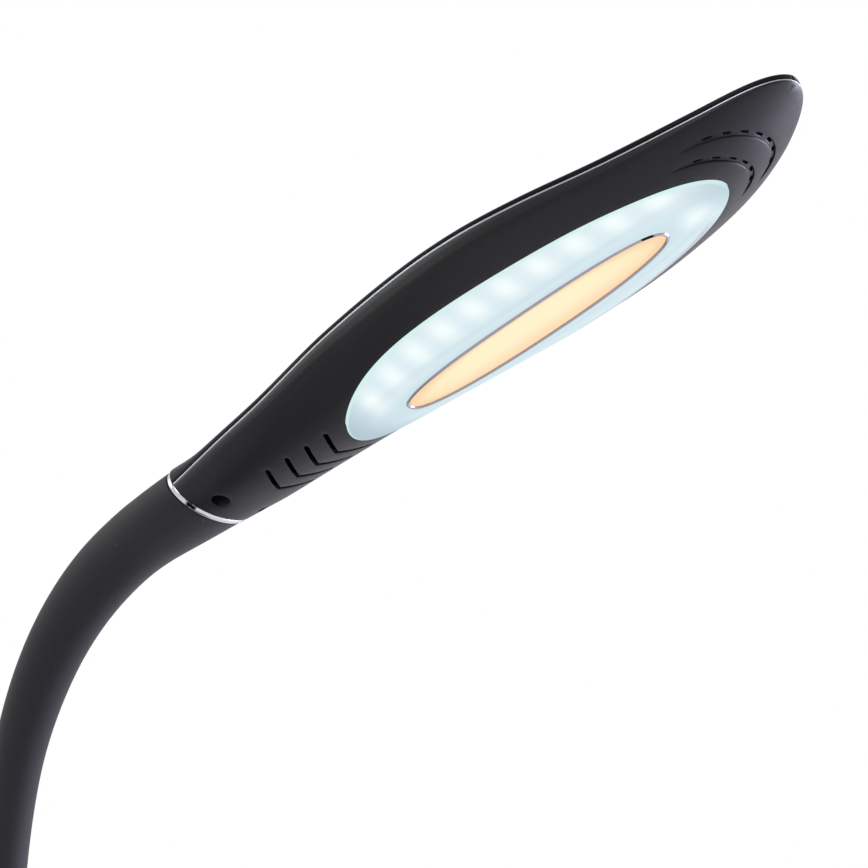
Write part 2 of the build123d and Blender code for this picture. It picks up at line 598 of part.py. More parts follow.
def head_stations(end):
    """Places of the head's sections, closer together towards the rounded tip."""
    even = [share * HEAD_LENGTH for share in SECTION_SHARES]
    left = HEAD_LENGTH - even[-1]
    closing = [HEAD_LENGTH - left * (1 - i / TIP_SECTIONS) ** 2 for i in range(1, TIP_SECTIONS)]
    return [x for x in even + closing if x < end - SECTION_LEAST_STEP] + [end]


def section(x, height):
    return Plane(origin=(x, 0, height), x_dir=(0, 1, 0), z_dir=(1, 0, 0))


def dome_arc(wide, flank, deep, reach):
    """Curve of the underside between the lower edges of its flanks."""
    cut = math.sqrt(1 - reach ** 2)
    y_radius = (deep - flank) / (1 - cut)
    angle = math.degrees(math.acos(reach))
    return EllipticalCenterArc((0, y_radius - deep), wide / reach, y_radius,
                               start_angle=180 + angle, arc_size=180 - 2 * angle)


def bowl(grow, end=nose_end, rise=0.0):
    """Solid from the seam down to the underside, grown or shrunk by a wall."""
    faces = []
    for x in head_stations(end):
        wide = half_width(x) + grow
        full_depth = seam_height(x) - underside_height(x)
        deep = full_depth + grow
        flank = deep * smooth(FLANK_LINE, x / HEAD_LENGTH) / full_depth
        arc = dome_arc(wide, flank, deep, smooth(DOME_LINE, x / HEAD_LENGTH))
        sides = Polyline(arc @ 1, (wide, rise), (-wide, rise), arc @ 0)
        faces.append(section(x, seam_height(x)) * make_face(Curve() + [arc, *sides.edges()]))
    return loft(faces)


def lid(shrink, end=nose_end, drop=0.0):
    """Solid of the top shell above the seam trim, shrunk by a wall."""
    faces = []
    for x in head_stations(end):
        wide = half_width(x) - shrink
        arc = EllipticalCenterArc((0, TOP_SKIRT), wide, crown_height(x) - shrink, start_angle=0,
                                  arc_size=180)
        sides = Polyline((-wide, TOP_SKIRT), (-wide, -drop), (wide, -drop), (wide, TOP_SKIRT))
        outline = Curve() + [arc, *sides.edges()]
        faces.append(section(x, seam_height(x) + SEAM_THICKNESS) * make_face(outline))
    return loft(faces)


def seam_band(shrink, bottom, top, end=nose_end):
    """Flat band that follows the seam."""
    faces = []
    for x in head_stations(end):
        wide = half_width(x) - shrink
        outline = Polyline((-wide, bottom), (wide, bottom), (wide, top), (-wide, top), close=True)
        faces.append(section(x, seam_height(x)) * make_face(outline))
    return loft(faces)


def oval(length, width):
    """Face of the full oval that the warm lens and its bezel share, from its half sizes."""
    points = []
    for i in range(OVAL_POINTS):
        angle = 2 * math.pi * i / OVAL_POINTS
        along, across = [math.copysign(abs(v) ** (2 / OVAL_FULLNESS), v)
                         for v in (math.cos(angle), math.sin(angle))]
        points.append((DIFFUSER_CENTRE + length * along, width * across))
    return make_face(Spline(*points, periodic=True))


def ellipse_at(length, width):
    return Pos(DIFFUSER_CENTRE, 0) * Ellipse(length, width)


def pillar(face, bottom, top):
    return extrude(Pos(0, 0, bottom) * face, top - bottom)


def ring_side(offset, towards):
    """Half space beyond the ring's plane, on the head's side or the neck's side."""
    size = 6 * RING_HALF_WIDTH
    block = Box(size, size, size, align=(Align.CENTER, Align.CENTER,
                                         Align.MIN if towards > 0 else Align.MAX))
    return ring_plane * Pos(0, 0, offset) * block


def crescent(centre, radius, half_angle):
    """Face between two arcs that share their ends, widest at the head's middle."""
    angle = math.radians(half_angle)
    ends = [(centre + radius * math.cos(angle), side * radius * math.sin(angle)) for side in (-1, 1)]
    outer = ThreePointArc(ends[0], (centre + radius, 0), ends[1])
    inner = ThreePointArc(ends[1], (centre + radius - TIP_GROOVE_WIDTH, 0), ends[0])
    return make_face(Curve() + [outer, inner])


behind_ring = ring_side(RING_THICKNESS / 2, -1)

# lower shell with the opening for the diffuser, vents and screw wells
solid_bowl = bowl(0)
lower_shell = solid_bowl - bowl(-HEAD_WALL, cavity_end, rise=CAVITY_RISE)
opening = ellipse_at(DIFFUSER_HALF_LENGTH + DIFFUSER_GAP, DIFFUSER_HALF_WIDTH + DIFFUSER_GAP)
lower_shell -= pillar(opening, deep_below, PAST)
vents = []
vent_arm = Vector(VENT_ARM_SWEEP, VENT_ARM_REACH)
vent_angle = math.degrees(math.atan2(vent_arm.Y, vent_arm.X))
for i in range(VENT_COUNT):
    corner = VENT_START + i * VENT_PITCH
    for side in (-1, 1):
        slot = Rot(0, 0, side * vent_angle) * SlotOverall(vent_arm.length + VENT_WIDTH, VENT_WIDTH)
        middle = Pos(corner + vent_arm.X / 2, side * vent_arm.Y / 2)
        vents.append(pillar(middle * slot, deep_below, VENT_TOP))
groove_floor = bowl(-TIP_GROOVE_DEPTH, HEAD_LENGTH - TIP_GROOVE_END)
for beyond, radius, spread_angle, slot_count in TIP_VENT_ARCS:
    centre = DIFFUSER_END + beyond - radius
    groove = crescent(centre, radius + TIP_SLOT_WIDTH / 2 + TIP_GROOVE_LIP,
                      spread_angle + TIP_GROOVE_OVERRUN)
    vents.append(pillar(groove, deep_below, TIP_VENT_TOP) - groove_floor)
    for i in range(slot_count):
        angle = spread_angle * (2 * i / (slot_count - 1) - 1)
        slot = Rot(0, 0, angle) * Pos(radius, 0) * Rectangle(TIP_SLOT_WIDTH, TIP_SLOT_LENGTH)
        vents.append(pillar(Pos(centre, 0) * slot, deep_below, TIP_VENT_TOP))
for vent in vents:
    lower_shell -= vent
head_screws = [(NECK_SCREW_X, side * NECK_SCREW_Y) for side in (-1, 1)]
well_radius = NECK_SCREW_HOLE_RADIUS + NECK_SCREW_BOSS_WALL
for x, y in head_screws:
    lower_shell += upright(x, y, deep_below, TONGUE_BOTTOM, well_radius) & solid_bowl
    lower_shell -= upright(x, y, deep_below, WELL_FLOOR, NECK_SCREW_HOLE_RADIUS)
    lower_shell -= upright(x, y, deep_below, TONGUE_BOTTOM + PAST, SCREW_RADIUS + SCREW_CLEARANCE)
lower_shell -= behind_ring
parts["lower_shell"] = lower_shell

# bright seam trim and top shell
trim = seam_band(0, 0, SEAM_THICKNESS)
trim -= seam_band(SEAM_DEPTH, -PAST, SEAM_THICKNESS + PAST, cavity_end)
parts["seam_trim"] = trim - behind_ring

plate_screw_x = LED_BOARD_HALF_LENGTH - PLATE_SCREW_END_INSET
board_half_width_there = LED_BOARD_HALF_WIDTH * math.sqrt(
    1 - (plate_screw_x / LED_BOARD_HALF_LENGTH) ** 2)
plate_screws = [(DIFFUSER_CENTRE + x, y) for x, y in four_ways(
    plate_screw_x, board_half_width_there - PLATE_SCREW_SIDE_INSET)]
top_shell = lid(0) - lid(HEAD_WALL, cavity_end, drop=PAST)
skirt_top = SEAM_THICKNESS + TOP_SKIRT
for x, y in plate_screws:
    roof = seam_height(x) + skirt_top + crown_height(x) * math.sqrt(1 - (y / half_width(x)) ** 2)
    top_shell += upright(x, y, HEAT_PLATE_TOP, roof - HEAD_WALL / 2, BOSS_RADIUS)
    top_shell -= upright(x, y, HEAT_PLATE_TOP - PAST, roof - HEAD_WALL - BOSS_END_GAP,
                         SCREW_RADIUS)
parts["top_shell"] = top_shell - behind_ring

# diffuser, and the warm lens in its bezel, all following the underside
inner_skin = bowl(-HEAD_WALL - DIFFUSER_FLANGE_THICKNESS, cavity_end, rise=CAVITY_RISE)
diffuser = bowl(DIFFUSER_PROUD) & pillar(
    ellipse_at(DIFFUSER_HALF_LENGTH, DIFFUSER_HALF_WIDTH), deep_below, PAST)
flange_ring = ellipse_at(
    DIFFUSER_HALF_LENGTH + DIFFUSER_FLANGE, DIFFUSER_HALF_WIDTH + DIFFUSER_FLANGE) - ellipse_at(
    DIFFUSER_HALF_LENGTH - DIFFUSER_FLANGE_LAP, DIFFUSER_HALF_WIDTH - DIFFUSER_FLANGE_LAP)
flange_skin = bowl(-HEAD_WALL - DIFFUSER_GAP, cavity_end)
diffuser += flange_skin & pillar(flange_ring, deep_below, PAST)
diffuser -= inner_skin
bezel_outline = oval(BEZEL_HALF_LENGTH, BEZEL_HALF_WIDTH)
lens_outline = oval(BEZEL_HALF_LENGTH - BEZEL_WIDTH, BEZEL_HALF_WIDTH - BEZEL_WIDTH)
parts["diffuser"] = diffuser - pillar(bezel_outline, deep_below, PAST)
bezel = bowl(BEZEL_PROUD) & pillar(bezel_outline, deep_below, PAST)
parts["lens_bezel"] = bezel - pillar(lens_outline, deep_below, 2 * PAST) - inner_skin
parts["warm_lens"] = (bowl(LENS_PROUD) & pillar(lens_outline, deep_below, PAST)) - inner_skin

# lighting: board with its emitters below, and an aluminium plate above it
board_outline = ellipse_at(LED_BOARD_HALF_LENGTH, LED_BOARD_HALF_WIDTH)
led_board = pillar(board_outline, LED_BOARD_FACE, LED_BOARD_TOP)
heat_plate = pillar(board_outline, LED_BOARD_TOP, HEAT_PLATE_TOP)
for x, y in plate_screws:
    hole = upright(x, y, LED_BOARD_FACE - PAST, HEAT_PLATE_TOP + PAST, SCREW_RADIUS + SCREW_FIT)
    led_board, heat_plate = led_board - hole, heat_plate - hole
parts["led_board"] = led_board
parts["heat_plate"] = heat_plate
parts["plate_screws"] = Compound([
    screw_up(x, y, LED_BOARD_FACE - SCREW_HEAD_HEIGHT, HEAT_PLATE_TOP + PLATE_SCREW_GRIP)
    for x, y in plate_screws])


def emitter(x, y):
    return Pos(x, y, LED_BOARD_FACE) * Box(LED_SIDE, LED_SIDE, LED_HEIGHT, align=(
        Align.CENTER, Align.CENTER, Align.MAX))


led_row_length = LED_BOARD_HALF_LENGTH - WHITE_LED_INSET
led_row_width = LED_BOARD_HALF_WIDTH - WHITE_LED_INSET
white_leds = [emitter(DIFFUSER_CENTRE + side * led_row_length, 0) for side in (-1, 1)]
for i in range(WHITE_LEDS_PER_SIDE):
    x = (led_row_length - WHITE_LED_END_INSET) * (2 * i / (WHITE_LEDS_PER_SIDE - 1) - 1)
    y = led_row_width * math.sqrt(1 - (x / led_row_length) ** 2)
    white_leds += [emitter(DIFFUSER_CENTRE + x, side * y) for side in (-1, 1)]
parts["white_leds"] = Compound(white_leds)
warm_reach = BEZEL_HALF_LENGTH - WARM_LED_END_INSET
parts["warm_leds"] = Compound([
    emitter(DIFFUSER_CENTRE + warm_reach * (2 * i / (WARM_LED_COUNT - 1) - 1), 0)
    for i in range(WARM_LED_COUNT)])

# ring and fitting
ring_face = Ellipse(RING_HALF_WIDTH, RING_HALF_HEIGHT) - Ellipse(
    RING_HALF_WIDTH - RING_DEPTH, RING_HALF_HEIGHT - RING_DEPTH)
parts["end_ring"] = ring_plane * extrude(ring_face, RING_THICKNESS / 2, both=True)

fitting_reach = FITTING_LENGTH + TONGUE_START + TONGUE_LENGTH
fitting = forward(-FITTING_LENGTH, 0, FITTING_LENGTH + TONGUE_START + PAST, FITTING_RADIUS)
tongue = Pos(TONGUE_START, 0, TONGUE_BOTTOM) * Box(
    TONGUE_LENGTH, 2 * TONGUE_HALF_WIDTH, TONGUE_TOP - TONGUE_BOTTOM,
    align=(Align.MIN, Align.CENTER, Align.MIN))
fitting += fillet(tongue.edges().filter_by(Axis.X), TONGUE_EDGE_RADIUS)
fitting -= forward(-FITTING_LENGTH - PAST, 0, fitting_reach + 2 * PAST, CORE_BORE_RADIUS)
fitting -= forward(-FITTING_LENGTH - PAST, 0, CORE_GRIP + PAST, CORE_RADIUS)
for x, y in head_screws:
    fitting -= upright(x, y, TONGUE_BOTTOM - PAST, TONGUE_TOP - BOSS_END_GAP, SCREW_RADIUS)
parts["end_fitting"] = fitting
parts["neck_screws"] = Compound([
    screw_up(x, y, WELL_FLOOR - SCREW_HEAD_HEIGHT, TONGUE_TOP - 1.5 * BOSS_END_GAP)
    for x, y in head_screws])

head_names = ("lower_shell", "seam_trim", "top_shell", "diffuser", "lens_bezel", "warm_lens",
              "led_board", "heat_plate", "plate_screws", "white_leds", "warm_leds", "end_ring",
              "end_fitting", "neck_screws")
for name in head_names:
    parts[name] = head_frame * parts[name]

# neck layers that end in the head
flare_start = last_joint - ball_radius(last_joint)
flare_end = NECK_LENGTH + RING_HALF_HEIGHT * math.sin(RING_TILT) + SECTION_SPACING / 2
flare = neck_tube(flare_start, flare_end, sleeve_half_width, sleeve_half_height)
flare -= round_tube(flare_start - PAST, flare_end + PAST, CORE_RADIUS)
flare -= head_frame * forward(-FITTING_LENGTH, 0, 2 * FITTING_LENGTH, FITTING_RADIUS)
flare -= head_frame * ring_side(-RING_THICKNESS / 2, 1)
parts["flare_sleeve"] = flare - below_ball(last_joint)
head_core = core_layer(flare_start, NECK_LENGTH - FITTING_LENGTH + CORE_GRIP)
parts["head_core"] = head_core - below_ball(last_joint)
lead_end = NECK_LENGTH + DIFFUSER_CENTRE - LED_BOARD_HALF_LENGTH
head_lead = lead_layer(flare_start, lead_end)
parts["head_lead"] = head_lead - below_ball(last_joint)

# ---- write ---------------------------------------------------------------------
os.makedirs("parts", exist_ok=True)
for name, shape in parts.items():
    shape.label = name
    export_step(shape, f"parts/{name}.step")
for number, distance in enumerate(joint_distances, start=1):
    point, lean = neck_place(distance)
    print(f"neck joint {number}: x {point.X:.3f} z {point.Z:.3f} lean {lean:.4f}")
print(f"ring centre: x {ring_centre.X:.3f} z {ring_centre.Z:.3f} pitch {PITCH:.2f}")
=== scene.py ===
"""Looks of the gooseneck desk lamp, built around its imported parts.

Each class holds its sizes in millimetres and turns them into metres where a piece is placed.
The head is drawn in its own frame: x runs along the head from the bright ring, y to its left,
z up, and that frame is tipped up by the head's pitch about the ring's centre.
"""
import logging
import math
from collections.abc import Callable, Sequence
from dataclasses import dataclass
from enum import Enum

import bmesh
import bpy
from mathutils import Matrix, Vector, kdtree
from mathutils.geometry import delaunay_2d_cdt


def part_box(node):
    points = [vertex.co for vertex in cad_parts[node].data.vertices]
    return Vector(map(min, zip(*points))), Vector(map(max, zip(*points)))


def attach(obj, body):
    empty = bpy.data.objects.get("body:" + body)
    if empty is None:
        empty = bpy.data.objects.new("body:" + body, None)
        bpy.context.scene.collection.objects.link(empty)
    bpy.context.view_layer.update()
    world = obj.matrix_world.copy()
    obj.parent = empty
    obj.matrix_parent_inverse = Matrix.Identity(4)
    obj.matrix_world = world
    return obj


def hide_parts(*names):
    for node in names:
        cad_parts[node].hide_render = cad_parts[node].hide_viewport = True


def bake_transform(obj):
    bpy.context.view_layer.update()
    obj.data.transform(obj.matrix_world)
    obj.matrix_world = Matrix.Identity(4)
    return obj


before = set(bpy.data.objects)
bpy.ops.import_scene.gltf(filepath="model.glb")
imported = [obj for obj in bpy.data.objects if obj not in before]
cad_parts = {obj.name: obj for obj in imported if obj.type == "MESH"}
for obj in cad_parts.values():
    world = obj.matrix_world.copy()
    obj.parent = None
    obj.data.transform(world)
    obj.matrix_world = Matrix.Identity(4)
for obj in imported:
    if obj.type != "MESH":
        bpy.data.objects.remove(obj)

log = logging.getLogger("lamp")

MM = 0.001

LINKS = range(1, 7)     # numbers of the neck's links, from the base upwards

Tint = tuple[float, float, float]
Outline = list[Vector]
Height = Callable[[float, float], float]


# ---- shader expressions -------------------------------------------------------
class Signal:
    """Value on a node's output; arithmetic on it adds Math nodes."""

    def __init__(self, graph: "Graph", socket: bpy.types.NodeSocket) -> None:
        """Wraps an output socket of one of the graph's nodes."""
        self.graph = graph
        self.socket = socket

    def math(self, operation: str, *others: "Signal | float", swapped: bool = False) -> "Signal":
        """Applies one Math operation.

        Args:
            operation: the Math node's operation.
            others: the values after this one.
            swapped: whether this value comes last.

        Returns:
            The result.
        """
        values = (*others, self) if swapped else (self, *others)
        return self.graph.node("ShaderNodeMath", {"operation": operation}, dict(enumerate(values)))

    def __add__(self, other: "Signal | float") -> "Signal":
        """Sum."""
        return self.math("ADD", other)

    __radd__ = __add__

    def __sub__(self, other: "Signal | float") -> "Signal":
        """Difference."""
        return self.math("SUBTRACT", other)

    def __rsub__(self, other: float) -> "Signal":
        """Difference from a number."""
        return self.math("SUBTRACT", other, swapped=True)

    def __mul__(self, other: "Signal | float") -> "Signal":
        """Product."""
        return self.math("MULTIPLY", other)

    __rmul__ = __mul__

    def __truediv__(self, other: "Signal | float") -> "Signal":
        """Quotient."""
        return self.math("DIVIDE", other)

    def __pow__(self, other: float) -> "Signal":
        """Power."""
        return self.math("POWER", other)

    def __abs__(self) -> "Signal":
        """Size without sign."""
        return self.math("ABSOLUTE")

    def root(self) -> "Signal":
        """Square root."""
        return self.math("SQRT")

    def cosine(self) -> "Signal":
        """Cosine of an angle in radians."""
        return self.math("COSINE")

    def at_least(self, other: "Signal | float") -> "Signal":
        """The larger of two values."""
        return self.math("MAXIMUM", other)

    def at_most(self, other: "Signal | float") -> "Signal":
        """The smaller of two values."""
        return self.math("MINIMUM", other)

    def rise(self, low: float, high: float) -> "Signal":
        """Soft step.

        Args:
            low: where the step starts, at 0.
            high: where it ends, at 1; a value under low makes it fall.

        Returns:
            A value from 0 to 1.
        """
        settings = {"interpolation_type": "SMOOTHSTEP"}
        return self.graph.node("ShaderNodeMapRange", settings, {0: self, 1: low, 2: high})


class Graph:
    """Node tree of one finish or of the world."""

    def __init__(self, tree: bpy.types.NodeTree) -> None:
        """Empties a node tree to build in."""
        self.tree = tree
        tree.nodes.clear()

    @classmethod
    def of_material(cls, name: str) -> "tuple[Graph, bpy.types.Material]":
        """Makes a material and the graph that fills it.

        Args:
            name: the material's name.

        Returns:
            The graph and the material.
        """
        material = bpy.data.materials.new(name)
        material.use_nodes = True
        return cls(material.node_tree), material

    def node(self, kind: str, settings: dict | None = None, inputs: dict | None = None,
             output: int | str = 0) -> Signal:
        """Adds one node.

        Args:
            kind: the node's type.
            settings: its properties, set first; "stops" holds a ramp's places and colours.
            inputs: values or signals by the name or number of the socket.
            output: which output the result stands for.

        Returns:
            The signal on that output.
        """
        node = self.tree.nodes.new(kind)
        for name, value in (settings or {}).items():
            if name == "stops":
                self._set_stops(node.color_ramp, value)
            else:
                setattr(node, name, value)
        for key, value in (inputs or {}).items():
            if isinstance(value, Signal):
                self.tree.links.new(value.socket, node.inputs[key])
            else:
                node.inputs[key].default_value = value
        return Signal(self, node.outputs[output])

    @staticmethod
    def _set_stops(ramp: bpy.types.ColorRamp, stops: Sequence[tuple[float, tuple]]) -> None:
        """Gives a colour ramp its places and colours."""
        while len(ramp.elements) < len(stops):
            ramp.elements.new(1.0)
        for element, (place, colour) in zip(ramp.elements, stops):
            element.position, element.color = place, colour

    def place(self) -> Signal:
        """Place on the resting lamp, in metres."""
        return self.node("ShaderNodeTexCoord", output="Object")

    def axes(self, vector: Signal) -> tuple[Signal, Signal, Signal]:
        """The x, y and z of a vector."""
        split = self.node("ShaderNodeSeparateXYZ", inputs={0: vector})
        outputs = split.socket.node.outputs
        return Signal(self, outputs[0]), Signal(self, outputs[1]), Signal(self, outputs[2])

    def noise(self, size: float, detail: float = 2.0, where: Signal | None = None) -> Signal:
        """Soft random pattern from 0 to 1.

        Args:
            size: width of one blob in millimetres.
            detail: how many finer layers it has.
            where: the place to read, or the lamp's own.

        Returns:
            The pattern.
        """
        inputs = {"Vector": where or self.place(), "Scale": 1 / (size * MM), "Detail": detail}
        return self.node("ShaderNodeTexNoise", inputs=inputs)

    def mix(self, factor: Signal, first: "Signal | tuple", second: "Signal | tuple") -> Signal:
        """Colour between two colours.

        Args:
            factor: share of the second colour.
            first: colour at 0.
            second: colour at 1.

        Returns:
            The colour.
        """
        settings = {"data_type": "RGBA"}
        return self.node("ShaderNodeMix", settings, {0: factor, 6: first, 7: second}, output=2)

    def bump(self, height: Signal, depth: float, strength: float = 1.0) -> Signal:
        """Normal of a surface with a fine relief.

        Args:
            height: relief from 0 to 1.
            depth: the relief's depth in millimetres.
            strength: how much of it is used.

        Returns:
            The normal.
        """
        inputs = {"Strength": strength, "Distance": depth * MM, "Height": height}
        return self.node("ShaderNodeBump", inputs=inputs)

    def surface(self, **sockets: "Signal | float | tuple") -> None:
        """Ends the graph in a Principled shader; socket names have _ for a space."""
        inputs = {name.replace("_", " "): value for name, value in sockets.items()}
        shader = self.node("ShaderNodeBsdfPrincipled", inputs=inputs)
        self.node_output("ShaderNodeOutputMaterial", shader)

    def node_output(self, kind: str, shader: Signal) -> None:
        """Links a shader to the tree's output node."""
        node = self.tree.nodes.new(kind)
        self.tree.links.new(shader.socket, node.inputs["Surface"])


def colour(red: float, green: float, blue: float) -> tuple[float, float, float, float]:
    """Turns a display colour into the one that shaders use.

    Args:
        red: display value from 0 to 255.
        green: the same.
        blue: the same.

    Returns:
        Linear red, green and blue, and an alpha of 1.
    """
    shares = [value / 255 for value in (red, green, blue)]
    linear = [s / 12.92 if s <= 0.04045 else ((s + 0.055) / 1.055) ** 2.4 for s in shares]
    return (*linear, 1.0)


# ---- finishes -----------------------------------------------------------------
@dataclass(frozen=True)
class MouldedPlastic:
    """Injection moulded plastic with a fine spark-eroded grain."""

    name: str
    tint: Tint
    gloss: float = 0.5
    reflection: float = 0.35
    grain: float = 0.35
    grain_depth: float = 0.006
    flow_size: float = 40.0

    def make(self) -> bpy.types.Material:
        """Builds the material."""
        graph, material = Graph.of_material(self.name)
        flow = graph.noise(self.flow_size, 3.0)
        fine = graph.noise(self.grain, 1.0)
        deep = tuple(0.82 * value for value in self.tint)
        rough = (1 - self.gloss) + 0.05 * (flow - 0.5) + 0.06 * (fine - 0.5)
        graph.surface(
            Base_Color=graph.mix(flow, colour(*self.tint), colour(*deep)),
            Roughness=rough,
            Specular_IOR_Level=self.reflection,
            Normal=graph.bump(fine, self.grain_depth),
        )
        return material


@dataclass(frozen=True)
class SoftTouchRubber:
    """Matt silicone that holds a few pale specks of dust."""

    name: str
    tint: Tint = (20, 19, 23)
    dust: Tint = (128, 126, 130)
    handled: Tint = (38, 37, 41)
    speck_spacing: float = 5.0
    speck_size: float = 0.3
    sheen: float = 0.05

    def make(self) -> bpy.types.Material:
        """Builds the material."""
        graph, material = Graph.of_material(self.name)
        inputs = {"Vector": graph.place(), "Scale": 1 / (self.speck_spacing * MM)}
        cells = graph.node("ShaderNodeTexVoronoi", inputs=inputs)
        chance = graph.node("ShaderNodeTexVoronoi", inputs=inputs, output="Color")
        dusty, _, spread = graph.axes(chance)
        reach = self.speck_size / self.speck_spacing
        specks = cells.rise(reach, 0.35 * reach) * dusty.rise(0.62, 0.66) * (0.4 + 0.6 * spread)
        cloud = graph.noise(14.0, 3.0)
        fine = graph.noise(0.18, 2.0)
        body = graph.mix(0.35 * cloud, colour(*self.tint), colour(*self.handled))
        graph.surface(
            Base_Color=graph.mix(0.75 * specks, body, colour(*self.dust)),
            Roughness=0.66 + 0.12 * cloud,
            Specular_IOR_Level=0.24,
            Sheen_Weight=self.sheen,
            Sheen_Roughness=0.6,
            Normal=graph.bump(fine + 0.6 * specks, 0.008),
        )
        return material


@dataclass(frozen=True)
class PolishedMetal:
    """Bright plated trim with the faint lines of its polishing."""

    name: str
    tint: Tint = (225, 226, 230)
    roughness: float = 0.12
    line_size: float = 0.5
    line_stretch: float = 0.12

    def make(self) -> bpy.types.Material:
        """Builds the material."""
        graph, material = Graph.of_material(self.name)
        stretched = graph.node("ShaderNodeMapping", inputs={
            "Vector": graph.place(), "Scale": (1.0, self.line_stretch, 1.0)})
        lines = graph.noise(self.line_size, 2.0, stretched)
        haze = graph.noise(12.0, 3.0)
        pale = tuple(min(255.0, 1.04 * value) for value in self.tint)
        graph.surface(
            Base_Color=graph.mix(haze, colour(*self.tint), colour(*pale)),
            Metallic=1.0,
            Roughness=self.roughness + 0.06 * lines + 0.04 * haze,
            Normal=graph.bump(lines, 0.0006),
        )
        return material


@dataclass(frozen=True)
class MachinedMetal:
    """Plain worked metal: steel, aluminium or brass with tool marks."""

    name: str
    tint: Tint
    roughness: float = 0.34
    mark_size: float = 0.4
    mark_stretch: float = 0.06

    def make(self) -> bpy.types.Material:
        """Builds the material."""
        graph, material = Graph.of_material(self.name)
        stretched = graph.node("ShaderNodeMapping", inputs={
            "Vector": graph.place(), "Scale": (1.0, self.mark_stretch, 1.0)})
        marks = graph.noise(self.mark_size, 3.0, stretched)
        stain = graph.noise(9.0, 3.0)
        dark = tuple(0.8 * value for value in self.tint)
        graph.surface(
            Base_Color=graph.mix(0.6 * stain, colour(*self.tint), colour(*dark)),
            Metallic=1.0,
            Roughness=self.roughness + 0.14 * marks + 0.06 * stain,
            Normal=graph.bump(marks, 0.003),
        )
        return material


@dataclass(frozen=True)
class BoardLaminate:
    """Circuit board laminate: solder mask over the weave of its glass cloth."""

    name: str
    tint: Tint
    weave: float = 0.9

    def make(self) -> bpy.types.Material:
        """Builds the material."""
        graph, material = Graph.of_material(self.name)
        x, y, _ = graph.axes(graph.place())
        turns = 2 * math.pi / (self.weave * MM)
        cloth = 0.5 + 0.25 * (x * turns).cosine() + 0.25 * (y * turns).cosine()
        blots = graph.noise(6.0, 3.0)
        deep = tuple(0.8 * value for value in self.tint)
        graph.surface(
            Base_Color=graph.mix(0.5 * cloth + 0.4 * blots, colour(*self.tint), colour(*deep)),
            Roughness=0.38 + 0.1 * blots,
            Normal=graph.bump(cloth, 0.01),
        )
        return material


@dataclass(frozen=True)
class Phosphor:
    """Face of a light-emitting diode: a glowing phosphor under clear resin."""

    name: str
    tint: Tint
    power: float = 1.0

    def make(self) -> bpy.types.Material:
        """Builds the material."""
        graph, material = Graph.of_material(self.name)
        grain = graph.noise(0.4, 2.0)
        pale = tuple(0.5 * value + 127.5 for value in self.tint)
        glow = graph.mix(grain, colour(*self.tint), colour(*pale))
        graph.surface(Base_Color=glow, Emission_Color=glow, Emission_Strength=self.power,
                      Roughness=0.3 + 0.1 * grain)
        return material


# ---- meshes -------------------------------------------------------------------
class Skin:
    """Closed skin in the making: points in millimetres and the faces between them."""

    def __init__(self) -> None:
        """Starts with nothing."""
        self.points: Outline = []
        self.faces: list[tuple[int, ...]] = []

    def loop(self, points: Sequence[Vector]) -> list[int]:
        """Adds points and returns their numbers."""
        first = len(self.points)
        self.points.extend(Vector(point) for point in points)
        return list(range(first, len(self.points)))

    def bridge(self, first: Sequence[int], second: Sequence[int], closed: bool = True) -> None:
        """Joins two rows of as many points with four-sided faces.

        Args:
            first: numbers of the first row's points.
            second: numbers of the second row's points.
            closed: whether the last point joins the first one again.
        """
        count = len(first)
        for i in range(count if closed else count - 1):
            k = (i + 1) % count
            self.faces.append((first[i], first[k], second[k], second[i]))

    def bridge_rows(self, rows: Sequence[Sequence[int]], closed: bool = True) -> None:
        """Joins each row with the next one."""
        for first, second in zip(rows, rows[1:]):
            self.bridge(first, second, closed)

    def fill(self, outer: Sequence[int], holes: Sequence[Sequence[int]], height: Height,
             spacing: float) -> None:
        """Fills the space between loops with even triangles.

        Args:
            outer: the loop all round, seen from above.
            holes: loops of the openings in it.
            height: height of the surface over a place.
            spacing: distance between the points that are added inside.
        """
        loops = [list(outer), *(list(hole) for hole in holes)]
        known = [number for loop in loops for number in loop]
        plan = [self.points[number].to_2d() for number in known]
        edge = kdtree.KDTree(len(plan))
        for i, point in enumerate(plan):
            edge.insert(point.to_3d(), i)
        edge.balance()
        inside = []
        low_x, high_x = min(p.x for p in plan), max(p.x for p in plan)
        high_y = max(abs(p.y) for p in plan)
        row_step = spacing * math.sqrt(0.75)
        across = math.ceil(high_y / spacing) + 1
        for row in range(math.ceil((high_x - low_x) / row_step)):
            for k in range(-across, across + 1):
                point = Vector((low_x + row * row_step, (k + 0.5 * (row % 2)) * spacing))
                if edge.find(point.to_3d())[2] > 0.62 * spacing:
                    inside.append(point)
        borders, first = [], 0
        for loop in loops:
            borders.append(list(range(first, first + len(loop))))
            first += len(loop)
        places, _, triangles, origins, _, owners = delaunay_2d_cdt(
            plan + inside, [], borders, 1, 1e-6, True)
        numbers: dict[int, int] = {}
        for triangle, owner in zip(triangles, owners):
            if list(owner) != [0]:
                continue
            corners = []
            for corner in triangle:
                if corner not in numbers:
                    source = origins[corner][0]
                    if source < len(known):
                        numbers[corner] = known[source]
                    else:
                        x, y = places[corner]
                        numbers[corner] = self.loop([(x, y, height(x, y))])[0]
                corners.append(numbers[corner])
            self.faces.append(tuple(corners))


